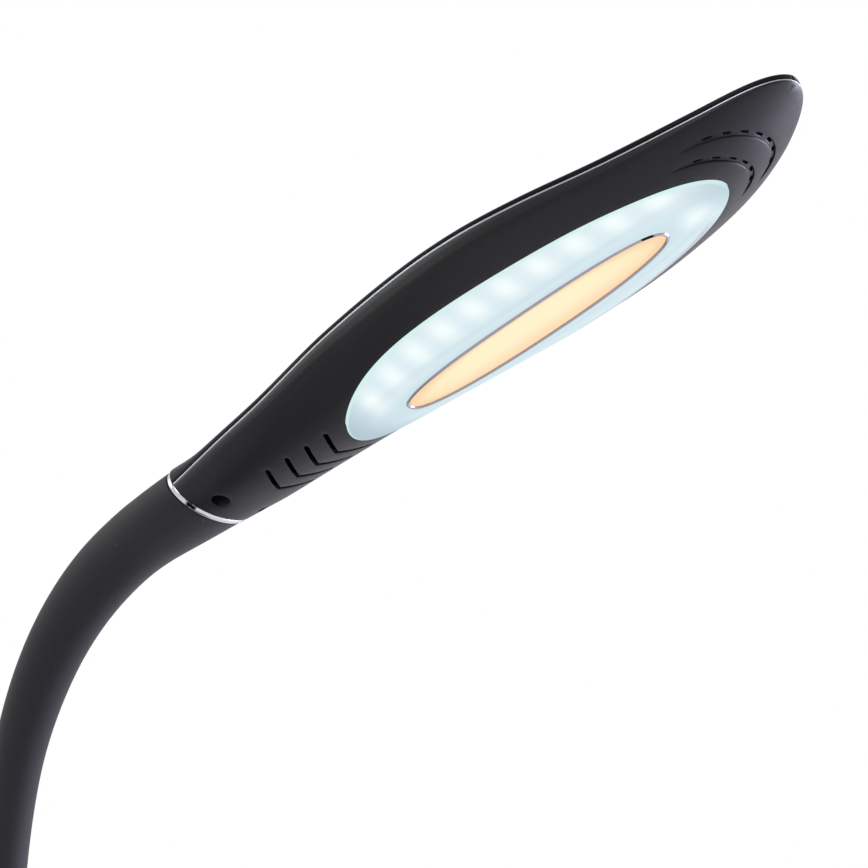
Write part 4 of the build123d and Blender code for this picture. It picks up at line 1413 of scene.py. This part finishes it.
@dataclass(frozen=True)
class WarmDiffuser:
    """Cream acrylic with warm light behind it, peach towards one long edge."""

    name: str
    form: HeadForm
    window: LightWindow
    cream: Tint = (255, 243, 204)
    peach: Tint = (253, 222, 184)
    end: Tint = (254, 228, 182)
    rim: Tint = (248, 204, 162)
    power: float = 0.98

    def make(self) -> bpy.types.Material:
        """Builds the material."""
        graph, material = Graph.of_material(self.name)
        x, y, _ = head_axes(graph, self.form)
        window = self.window
        across = y / (window.bezel_width - window.bezel_band)
        along = (x - window.centre) / (window.bezel_length - window.bezel_band)
        reach = (along * along + across * across).root()
        body = graph.mix(across.rise(-0.25, 0.8), colour(*self.cream), colour(*self.peach))
        body = graph.mix(0.7 * abs(along).rise(0.45, 1.0), body, colour(*self.end))
        body = graph.mix(0.6 * reach.rise(0.84, 1.0), body, colour(*self.rim))
        cloud = graph.noise(25.0, 2.0)
        graph.surface(
            Base_Color=(0.02, 0.018, 0.014, 1.0),
            Emission_Color=body,
            Emission_Strength=self.power,
            Roughness=0.3 + 0.05 * cloud,
            Specular_IOR_Level=0.0,
        )
        return material


@dataclass(frozen=True)
class BezelMetal:
    """Plated oval: a pale outer lip that is a painted highlight, a greyer slope, a darker line of
    painted shade at the lens, and a dark dash of painted reflection.
    """

    name: str
    form: HeadForm
    window: LightWindow
    # pale outer lip: a painted highlight on the plating
    lip: Tint = (232, 233, 240)
    slope: Tint = (156, 149, 153)
    # darker line at the lens: painted shade along the bezel's foot
    foot: Tint = (150, 136, 128)
    # dark dash: a painted reflection of something dark on the plating
    mirrored: Tint = (24, 23, 27)
    mirrored_from: float = 217.4
    mirrored_to: float = 222.0
    fade: float = 0.8

    def make(self) -> bpy.types.Material:
        """Builds the material."""
        graph, material = Graph.of_material(self.name)
        x, y, _ = head_axes(graph, self.form)
        share = self.window.across_bezel(x, y)
        # painted highlight on the outer lip, over the grey slope
        body = graph.mix(share.rise(0.91, 0.98), colour(*self.slope), colour(*self.lip))
        # painted shade along the foot, next to the lens
        body = graph.mix(share.rise(0.14, 0.04), body, colour(*self.foot))
        # where the dark dash of painted reflection lies
        reflection_dash = (x.rise(self.mirrored_from, self.mirrored_from + self.fade)
                * x.rise(self.mirrored_to, self.mirrored_to - self.fade)
                * share.rise(0.35, 0.5) * y.rise(0.0, -0.5))
        haze = graph.noise(8.0, 2.0)
        graph.surface(
            Base_Color=graph.mix(reflection_dash, body, colour(*self.mirrored)),
            Metallic=1.0,
            Roughness=0.16 + 0.06 * haze,
        )
        return material


@dataclass(frozen=True)
class RingMetal:
    """Plated ring at the head's neck: pale band, greyer edges of painted shade and one dark patch
    of painted reflection.
    """

    name: str
    form: HeadForm
    band: Tint = (196, 196, 198)
    # greyer edges: painted shade in the gaps beside the band
    edge: Tint = (52, 52, 56)
    # dark patch: a painted reflection on the plating
    mirrored: Tint = (18, 18, 20)
    half_thickness: float = 1.2
    shade_from: float = 0.66
    shade_to: float = 0.9
    patch_from: float = -17.3
    patch_to: float = -13.3
    patch_fade: float = 0.9
    ragged_size: float = 1.4

    def make(self) -> bpy.types.Material:
        """Builds the material."""
        graph, material = Graph.of_material(self.name)
        x, y, z = head_axes(graph, self.form)
        slant = math.radians(self.form.ring_slant)
        along = abs(x * math.cos(slant) + z * math.sin(slant)) / self.half_thickness
        # edges darkened with painted shade
        body = graph.mix(along.rise(self.shade_from, self.shade_to), colour(*self.band),
                         colour(*self.edge))
        # ragged edge of the dark patch of painted reflection
        ragged = 0.9 * graph.noise(self.ragged_size, 2.0)
        reflection_patch = (y.rise(self.patch_from, self.patch_from + self.patch_fade)
                 * y.rise(self.patch_to, self.patch_to - self.patch_fade)
                 * z.rise(0.0, -1.0) * (along + ragged).rise(1.25, 0.95))
        haze = graph.noise(12.0, 3.0)
        graph.surface(
            Base_Color=graph.mix(reflection_patch, body, colour(*self.mirrored)),
            Metallic=1.0,
            Roughness=0.14 + 0.06 * haze,
        )
        return material


def head_axes(graph: Graph, form: HeadForm) -> tuple[Signal, Signal, Signal]:
    """Place in the head's own frame.

    Args:
        graph: the graph to build in.
        form: the head's form.

    Returns:
        x, y and z in millimetres.
    """
    low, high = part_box("end_ring")
    tipped = (0.0, math.radians(-form.pitch), 0.0)
    place = graph.node("ShaderNodeMapping", {"vector_type": "TEXTURE"}, {
        "Vector": graph.place(), "Location": (low + high) / 2, "Rotation": tipped,
        "Scale": (MM, MM, MM)})
    return graph.axes(place)


# ---- neck -----------------------------------------------------------------------
@dataclass(frozen=True)
class NeckSleeve:
    """Soft sleeve of the neck, laid over its joints and ending in the head's flare."""

    form: HeadForm
    root_x: float = -52.0
    root_z: float = 24.0
    rise: float = 100.0
    bends: tuple = ((290.0, 14.0), (139.0, 18.0), (114.0, 25.0), (116.0, 13.5))
    end_run: float = 28.0
    radius: float = 9.8
    inner_radius: float = 7.0
    flare_half_width: float = 19.3
    flare_half_height: float = 13.257
    flare_heights: tuple = ((-10.0, 1.09), (0.0, 1.0), (15.0, 0.9), (30.0, 0.84), (60.0, 0.85),
                            (105.0, 0.4), (150.0, 0.0), (190.0, 0.0))
    flare_widths: tuple = ((-10.0, 1.03), (0.0, 1.0), (15.0, 0.88), (30.0, 0.66), (45.0, 0.42),
                           (60.0, 0.33), (105.0, 0.17), (150.0, 0.0), (190.0, 0.0))
    joints: int = len(LINKS) + 1
    first_joint: float = 26.0
    last_joint_from_ring: float = 62.0
    slant_reach: float = 45.0
    soft_share: float = 0.8
    row_spacing: float = 1.5
    round_steps: int = 112
    edge_radius: float = 0.5
    ball_steps: int = 6
    ball_reach: float = 18.0

    def length(self) -> float:
        """Length of the neck from the base to the ring."""
        return self.rise + sum(r * math.radians(a) for r, a in self.bends) + self.end_run

    def place(self, distance: float) -> tuple[Vector, float]:
        """Point on the neck's middle line.

        Args:
            distance: how far up the neck.

        Returns:
            The point, and the neck's lean from upright there, in radians.
        """
        x, z, lean = self.root_x, self.root_z, 0.0
        runs = ((0.0, self.rise),) + self.bends + ((0.0, math.inf),)
        for radius, turn in runs:
            if not radius:
                run = min(distance, turn)
                x, z = x + run * math.sin(lean), z + run * math.cos(lean)
                arc = turn
            else:
                arc = radius * math.radians(turn)
                swing = min(distance, arc) / radius
                x += radius * (math.cos(lean) - math.cos(lean + swing))
                z += radius * (math.sin(lean + swing) - math.sin(lean))
                lean += swing
            if distance <= arc:
                break
            distance -= arc
        return Vector((x, 0.0, z)), lean

    def row(self, distance: float, inside: bool, inset: float = 0.0) -> Outline:
        """Ring of points round the neck.

        Args:
            distance: how far up the neck.
            inside: whether it lies on the sleeve's inside.
            inset: how far inside the outer surface it lies.

        Returns:
            The points, in millimetres in the lamp's frame.
        """
        centre, lean = self.place(distance)
        left = self.length() - distance
        upward = Vector((-math.cos(lean), 0.0, math.sin(lean)))
        along = Vector((math.sin(lean), 0.0, math.cos(lean)))
        wide, high = (self.radius + smooth(flare, left) * (full - self.radius)
                      for flare, full in ((self.flare_widths, self.flare_half_width),
                                          (self.flare_heights, self.flare_half_height)))
        if inside:
            wide = high = self.inner_radius
        share = min(1.0, max(0.0, 1 - left / self.slant_reach))
        share = share * share * (3 - 2 * share)
        slant = math.radians(self.form.ring_slant)
        reach = self.form.ring_face + self.form.joint_gap
        points = []
        for k in range(self.round_steps):
            angle = 2 * math.pi * k / self.round_steps
            side = (wide - inset) * math.cos(angle)
            up = (high - inset) * math.sin(angle)
            shift = -share * (reach + up * math.sin(slant)) / math.cos(slant)
            points.append(centre + Vector((0, side, 0)) + upward * up + along * shift)
        return points

    def ball_end(self, joint: float, side: int) -> tuple[list[Outline], Outline]:
        """Ball about a joint that ends a stiff piece inside its neighbour.

        Args:
            joint: the joint's distance up the neck.
            side: 1 at an upper end and -1 at a lower one.

        Returns:
            The outer rows from the joint outwards, and the last inner row.
        """
        centre, lean = self.place(joint)
        along = side * Vector((math.sin(lean), 0.0, math.cos(lean)))
        section, inner = self.row(joint, False), self.row(joint, True)
        radius = (section[self.round_steps // 4] - centre).length
        reach = math.radians(self.ball_reach)
        rows = []
        for k in range(1, self.ball_steps + 1):
            angle = reach * k / self.ball_steps
            rows.append([centre + (point - centre) * math.cos(angle)
                         + along * radius * math.sin(angle) for point in section])
        return rows, [point + along * radius * math.sin(reach) for point in inner]

    def piece(self, start: float, end: float, last: bool = False, ball: int = 0) -> Skin:
        """Closed tube of the sleeve between two distances up the neck.

        Args:
            start: lower end.
            end: upper end.
            last: whether it ends at the ring, with a rounded edge.
            ball: 1 for a ball at its upper end, -1 for one at its lower end.

        Returns:
            The skin.
        """
        skin = Skin()
        count = math.ceil((end - start) / self.row_spacing)
        places = [start + (end - start) * i / count for i in range(count + 1)]
        edge = self.edge_radius
        outer = [skin.loop(self.row(place, False)) for place in places[:-1]]
        if last:
            outer.append(skin.loop(self.row(end - edge, False)))
            outer.append(skin.loop(self.row(end - 0.35 * edge, False, 0.15 * edge)))
            outer.append(skin.loop(self.row(end, False, edge)))
        else:
            outer.append(skin.loop(self.row(end, False)))
        inner = [skin.loop(self.row(place, True)) for place in reversed(places)]
        if ball:
            rows, inner_end = self.ball_end(end if ball > 0 else start, ball)
            round_end = [skin.loop(row) for row in rows]
            if ball > 0:
                outer, inner = outer + round_end, [skin.loop(inner_end)] + inner
            else:
                outer, inner = round_end[::-1] + outer, inner + [skin.loop(inner_end)]
        skin.bridge_rows([*outer, *inner, outer[0]])
        return skin

    def build(self, finish: bpy.types.Material) -> None:
        """Makes the sleeve's pieces: six that each lie over a joint, a stiff one, and the flare.

        Args:
            finish: what they are made of.
        """
        bodies = ["base", *(f"neck_link_{i}" for i in LINKS)]
        nodes = ["root_sleeve", *(f"sleeve_{i}" for i in LINKS)]
        length = self.length()
        pitch = (length - self.last_joint_from_ring - self.first_joint) / (self.joints - 1)
        at = [self.first_joint + i * pitch for i in range(self.joints)]
        edges = [0.0, *((a + b) / 2 for a, b in zip(at, at[1:]))]
        scale = Matrix.Scale(MM, 4)
        for i, joint in enumerate(at[:-1]):
            piece = Piece(f"neck_sleeve_{i + 1}", self.piece(edges[i], edges[i + 1]), scale,
                          finish, "soft_sleeve", stands_for=(nodes[i],)).make()
            soft = self.soft_share * pitch / 2
            start, end = (self.place(joint + side * soft)[0] * MM for side in (-1, 1))
            bodies[i + 1]
            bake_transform(piece)
            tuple(start)
            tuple(end)
        Piece(f"neck_sleeve_{self.joints}", self.piece(edges[-1], at[-1], ball=1), scale, finish,
              "soft_sleeve", bodies[-1], (nodes[-1],)).make()
        Piece("neck_flare", self.piece(at[-1], length, last=True, ball=-1), scale, finish,
              "soft_sleeve", "head", ("flare_sleeve",)).make()


# ---- base -------------------------------------------------------------------------
class Glyph(Enum):
    """Plain signs on the three buttons."""

    POWER = "power"
    TONE = "tone"
    DIMMER = "dimmer"

    def strokes(self) -> list[list[Vector]]:
        """The sign's lines, in shares of its size."""
        def arc(radius: float, start: float, end: float, steps: int = 20) -> list[Vector]:
            """Points on an arc, its angles in degrees."""
            angles = [math.radians(start + (end - start) * i / steps) for i in range(steps + 1)]
            return [Vector((radius * math.cos(a), radius * math.sin(a))) for a in angles]

        if self is Glyph.POWER:
            return [arc(0.8, 130, 410), [Vector((0.0, 0.25)), Vector((0.0, 1.0))]]
        if self is Glyph.TONE:
            return [arc(0.8, 100, 440), [Vector((0.0, -0.45)), Vector((0.0, 0.45))]]
        rays = [[Vector((0.7 * math.cos(a), 0.7 * math.sin(a))),
                 Vector((1.0 * math.cos(a), 1.0 * math.sin(a)))]
                for a in (math.pi * i / 4 for i in range(8))]
        return [arc(0.42, 25, 335), *rays]


@dataclass(frozen=True)
class ButtonPrint:
    """Pale print on a button's dished face."""

    glyph: Glyph
    size: float
    cap_radius: float
    line: float = 0.28
    thickness: float = 0.05
    dish_ratio: float = 3.0
    dish_depth: float = 0.4

    def build(self) -> Skin:
        """Lays the sign's strokes on the dished face of the button."""
        low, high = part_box(f"{self.glyph.value}_button")
        middle = (low + high) / 2 / MM
        top = high.z / MM
        radius = self.dish_ratio * self.cap_radius
        floor = top + radius - self.dish_depth

        def face(x: float, y: float) -> float:
            """Height of the dished face over a place."""
            return floor - math.sqrt(radius ** 2 - (x - middle.x) ** 2 - (y - middle.y) ** 2)

        skin = Skin()
        for stroke in self.glyph.strokes():
            turned = [Vector((middle.x + self.size * p.y, middle.y - self.size * p.x))
                      for p in stroke]
            outline = evenly(stroke_outline(turned, self.line, 30.0), 0.5)
            bottom = skin.loop(raised(outline, lambda x, y: face(x, y) - self.thickness))
            side = skin.loop(raised(outline, lambda x, y: face(x, y) + 0.6 * self.thickness))
            top_loop = skin.loop(raised(grown(outline, -0.4 * self.thickness),
                                        lambda x, y: face(x, y) + self.thickness))
            skin.bridge_rows([bottom, side, top_loop])
            skin.fill(top_loop, [], lambda x, y: face(x, y) + self.thickness, 0.8)
            skin.fill(bottom, [], lambda x, y: face(x, y) - self.thickness, 0.8)
        return skin


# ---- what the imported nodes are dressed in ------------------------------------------
class Wardrobe:
    """Finishes of the lamp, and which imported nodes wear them."""

    def __init__(self, form: HeadForm, window: LightWindow) -> None:
        """Makes every finish once.

        Args:
            form: the head's form, which places what lies on it.
            window: the lit window in the head's underside.
        """
        self.cover = MouldedPlastic("cover_plastic", (26, 26, 29), 0.52).make()
        self.shell = MouldedPlastic("shell_plastic", (12, 11, 15), 0.56, 0.23, 0.3, 0.004).make()
        self.top = MouldedPlastic("top_plastic", (20, 18, 22), 0.62, 0.06, 0.3, 0.0004).make()
        self.pan = MouldedPlastic("pan_plastic", (30, 30, 32), 0.38, 0.35, 0.6, 0.02).make()
        self.button = MouldedPlastic("button_plastic", (38, 38, 42), 0.45, 0.4, 0.25, 0.004).make()
        self.sleeve = SoftTouchRubber("soft_sleeve").make()
        self.feet = SoftTouchRubber("foot_rubber", (34, 33, 34), (90, 88, 86)).make()
        self.ring = PolishedMetal("bright_metal", (188, 188, 194)).make()
        self.head_ring = RingMetal("ring_metal", form).make()
        self.trim = PolishedMetal("trim_metal", (150, 156, 162), 0.34, 4.0).make()
        self.bezel = BezelMetal("bezel_metal", form, window).make()
        self.opal = OpalDiffuser("opal_diffuser", form, window).make()
        self.warm = WarmDiffuser("warm_diffuser", form, window).make()
        self.weight = MachinedMetal("weight_steel", (150, 148, 146), 0.42).make()
        self.spring = MachinedMetal("spring_steel", (128, 130, 134), 0.32, 0.25).make()
        self.screw = MachinedMetal("screw_steel", (168, 166, 160), 0.3, 0.2).make()
        self.fitting = MouldedPlastic("fitting_plastic", (46, 46, 50), 0.4).make()
        self.laminate = BoardLaminate("board_laminate", (22, 78, 48)).make()
        self.white_board = BoardLaminate("board_white", (226, 228, 226)).make()
        self.plate = MachinedMetal("plate_aluminium", (196, 198, 200), 0.36, 0.6).make()
        self.cable = SoftTouchRubber("cable_jacket", (30, 30, 32), (70, 70, 72)).make()
        self.connector = MouldedPlastic("connector_plastic", (228, 224, 212), 0.5, 0.5).make()
        self.jack = MouldedPlastic("jack_plastic", (20, 20, 22), 0.6, 0.5).make()
        self.brass = MachinedMetal("contact_brass", (206, 176, 110), 0.22, 0.2).make()
        self.cool = Phosphor("emitter_white", (232, 244, 255)).make()
        self.warm_chip = Phosphor("emitter_warm", (255, 214, 150)).make()
        self.print = MouldedPlastic("button_print", (190, 192, 196), 0.4, 0.4).make()

    def dress(self) -> None:
        """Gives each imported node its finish."""
        worn = {
            self.cover: ("base_cover",),
            self.pan: ("base_pan",),
            self.weight: ("weight_plate",),
            self.feet: ("rubber_feet",),
            self.screw: ("pan_screws", "socket_screws", "board_screws", "plate_screws",
                         "neck_screws"),
            self.fitting: ("neck_socket", "end_fitting", "power_plunger", "tone_plunger",
                           "dimmer_plunger"),
            self.ring: ("root_ring",),
            self.head_ring: ("end_ring",),
            self.laminate: ("control_board",),
            self.white_board: ("led_board",),
            self.jack: ("tact_switches", "dc_jack"),
            self.connector: ("board_connectors",),
            self.brass: ("jack_pin",),
            self.cable: ("jack_lead", "root_lead", "head_lead", *(f"lead_{i}" for i in LINKS)),
            self.spring: ("root_core", "head_core", *(f"core_{i}" for i in LINKS)),
            self.button: ("power_button", "tone_button", "dimmer_button"),
            self.sleeve: ("root_sleeve", "flare_sleeve", *(f"sleeve_{i}" for i in LINKS)),
            self.shell: ("lower_shell",),
            self.top: ("top_shell",),
            self.trim: ("seam_trim",),
            self.opal: ("diffuser",),
            self.bezel: ("lens_bezel",),
            self.warm: ("warm_lens",),
            self.plate: ("heat_plate",),
            self.cool: ("white_leds",),
            self.warm_chip: ("warm_leds",),
        }
        for finish, names in worn.items():
            for name in names:
                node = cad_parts[name]
                if not node.material_slots:
                    node.data.materials.append(finish)
                for slot in node.material_slots:
                    slot.material = finish
            log.info("%s: %s", finish.name, ", ".join(names))


# ---- studio -------------------------------------------------------------------------
@dataclass(frozen=True)
class Studio:
    """Pale floor, soft light, and the camera low in front of the lamp's head."""

    azimuth: float = 40.75
    elevation: float = -10.62
    distance: float = 1.3542
    offset_right: float = 0.083795
    offset_up: float = 0.022767
    lens: float = 150.80
    floor_size: float = 3.2
    floor_tint: Tint = (232, 232, 234)
    world_level: float = 0.62
    key_power: float = 26.0
    fill_power: float = 11.0
    rim_power: float = 30.0
    rim_tint: Tint = (0.8, 0.79, 1.0)
    card_width: float = 0.42
    card_height: float = 0.5
    card_behind: float = 0.08
    card_tints: tuple[Tint, Tint] = ((34, 33, 36), (58, 57, 60))
    lit_point: tuple[float, float, float] = (0.05, 0.0, 0.2)

    def axes(self) -> tuple[Vector, Vector, Vector]:
        """Directions to the camera, to its right and up."""
        a, e = math.radians(self.azimuth), math.radians(self.elevation)
        back = Vector((math.sin(a) * math.cos(e), -math.cos(a) * math.cos(e), math.sin(e)))
        right = Vector((math.cos(a), math.sin(a), 0.0))
        up = Vector((-math.sin(a) * math.sin(e), math.cos(a) * math.sin(e), math.cos(e)))
        return back, right, up

    def camera(self) -> None:
        """Places the camera and makes it the scene's own."""
        back, right, up = self.axes()
        low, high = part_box("end_ring")
        camera = bpy.data.objects.new("camera", bpy.data.cameras.new("camera"))
        camera.data.lens = self.lens
        camera.data.clip_start = 0.01
        camera.location = ((low + high) / 2 + back * self.distance + right * self.offset_right
                           + up * self.offset_up)
        camera.rotation_mode = "QUATERNION"
        camera.rotation_quaternion = (-back).to_track_quat("-Z", "Y")
        bpy.context.scene.collection.objects.link(camera)
        bpy.context.scene.camera = camera

    def board(self, name: str, corners: Sequence[Vector], grain: float, tints: Sequence[Tint],
              roughness: float, gloss: float) -> bpy.types.Object:
        """Flat board of the studio, mottled between two tints.

        Args:
            name: its name and its material's.
            corners: its four corners in metres, in order.
            grain: size of the mottling in millimetres.
            tints: the two tints.
            roughness: the material's roughness.
            gloss: the material's specular level.

        Returns:
            The board.
        """
        mesh = bpy.data.meshes.new(name)
        mesh.from_pydata(corners, [], [(0, 1, 2, 3)])
        graph, material = Graph.of_material(name)
        tint = graph.mix(graph.noise(grain, 3.0), *(colour(*value) for value in tints))
        graph.surface(Base_Color=tint, Roughness=roughness, Specular_IOR_Level=gloss)
        mesh.materials.append(material)
        board = bpy.data.objects.new(name, mesh)
        bpy.context.scene.collection.objects.link(board)
        return board

    def floor(self) -> None:
        """Lays the floor under the feet."""
        half = self.floor_size / 2
        corners = [(-half, -half, 0.0), (half, -half, 0.0), (half, half, 0.0), (-half, half, 0.0)]
        dull = tuple(value - 3 for value in self.floor_tint)
        self.board("studio_floor", corners, 60.0, (self.floor_tint, dull), 0.8, 0.2)

    def card(self) -> None:
        """Hangs a dark card behind the camera, seen only in the bright metal."""
        back, right, up = self.axes()
        low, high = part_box("end_ring")
        middle = (low + high) / 2 + back * (self.distance + self.card_behind)
        wide, tall = right * self.card_width / 2, up * self.card_height / 2
        corners = [middle - wide - tall, middle + wide - tall, middle + wide + tall,
                   middle - wide + tall]
        card = self.board("studio_card", corners, 90.0, self.card_tints, 0.9, 0.1)
        card.visible_camera = card.visible_diffuse = card.visible_shadow = False

    def softbox(self, name: str, place: Vector, size: float, power: float,
                tint: Tint = (1.0, 1.0, 1.0)) -> None:
        """Hangs one square lamp that faces the middle of the object.

        Args:
            name: the lamp's name.
            place: where it hangs, in metres.
            size: its side in metres.
            power: its power in watts.
            tint: its colour.
        """
        data = bpy.data.lights.new(name, "AREA")
        data.energy, data.size, data.color = power, size, tint
        lamp = bpy.data.objects.new(name, data)
        lamp.location = place
        lamp.rotation_mode = "QUATERNION"
        lamp.rotation_quaternion = (Vector(self.lit_point) - place).to_track_quat("-Z", "Y")
        bpy.context.scene.collection.objects.link(lamp)

    def world(self) -> None:
        """Lights all round at a plain level, and shows white to the camera and in reflections."""
        world = bpy.data.worlds.new("studio")
        world.use_nodes = True
        bpy.context.scene.world = world
        graph = Graph(world.node_tree)
        seen = graph.node("ShaderNodeLightPath", output="Is Camera Ray")
        outputs = seen.socket.node.outputs
        mirrored = Signal(graph, outputs["Is Glossy Ray"])
        through = Signal(graph, outputs["Is Transmission Ray"])
        white = seen.at_least(mirrored).at_least(through)
        level = self.world_level + (1 - self.world_level) * white
        shader = graph.node("ShaderNodeBackground",
                            inputs={"Color": (1.0, 1.0, 1.0, 1.0), "Strength": level})
        graph.node_output("ShaderNodeOutputWorld", shader)

    def build(self) -> None:
        """Builds the whole studio."""
        bpy.context.scene.view_settings.view_transform = "Standard"
        self.camera()
        self.floor()
        self.card()
        self.world()
        self.softbox("key_softbox", Vector((0.9, -1.5, 1.9)), 1.4, self.key_power)
        self.softbox("fill_softbox", Vector((-1.6, -0.9, 1.3)), 1.2, self.fill_power)
        self.softbox("back_softbox", Vector((0.3, 1.8, 1.6)), 1.4, self.fill_power)
        self.softbox("rim_softbox", Vector((0.85, 1.15, 0.4)), 0.7, self.rim_power,
                     self.rim_tint)


# ---- the lamp -------------------------------------------------------------------------
def build_head(form: HeadForm, window: LightWindow, wardrobe: Wardrobe) -> None:
    """Makes the head's visible pieces.

    Args:
        form: the form they share.
        window: the lit window in the underside.
        wardrobe: the finishes.
    """
    place = form.frame()
    rows = (
        ("head_lower_shell", LowerShell(form, window).build(), wardrobe.shell, "shell_plastic",
         "lower_shell"),
        ("head_top_shell", TopShell(form).build(), wardrobe.top, "top_plastic", "top_shell"),
        ("head_seam_trim", SeamTrim(form).build(), wardrobe.trim, "bright_metal", "seam_trim"),
        ("head_end_ring", EndRing(form).build(), wardrobe.head_ring, "bright_metal", "end_ring"),
        ("opal_window", window.diffuser(), wardrobe.opal, "opal_diffuser", "diffuser"),
        ("window_bezel", window.bezel(), wardrobe.bezel, "bezel_metal", "lens_bezel"),
        ("warm_window", window.lens(), wardrobe.warm, "warm_diffuser", "warm_lens"),
    )
    for name, skin, finish, slot, node in rows:
        Piece(name, skin, place, finish, slot, "head", (node,)).make()


def build_buttons(wardrobe: Wardrobe) -> None:
    """Prints the signs on the three buttons."""
    scale = Matrix.Scale(MM, 4)
    for print_ in (ButtonPrint(Glyph.POWER, 3.4, 8.0), ButtonPrint(Glyph.TONE, 2.7, 6.5),
                   ButtonPrint(Glyph.DIMMER, 2.7, 6.5)):
        name = print_.glyph.value
        Piece(f"{name}_print", print_.build(), scale, wardrobe.print, "button_plastic",
              f"{name}_key").make()


def main() -> None:
    """Builds the lamp's looks and the studio."""
    logging.basicConfig(level=logging.INFO, format="%(name)s %(message)s")
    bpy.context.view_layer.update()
    form = HeadForm()
    window = LightWindow(form)
    wardrobe = Wardrobe(form, window)
    wardrobe.dress()
    build_head(form, window, wardrobe)
    NeckSleeve(form).build(wardrobe.sleeve)
    build_buttons(wardrobe)
    Studio().build()


if __name__ == "__main__":
    main()
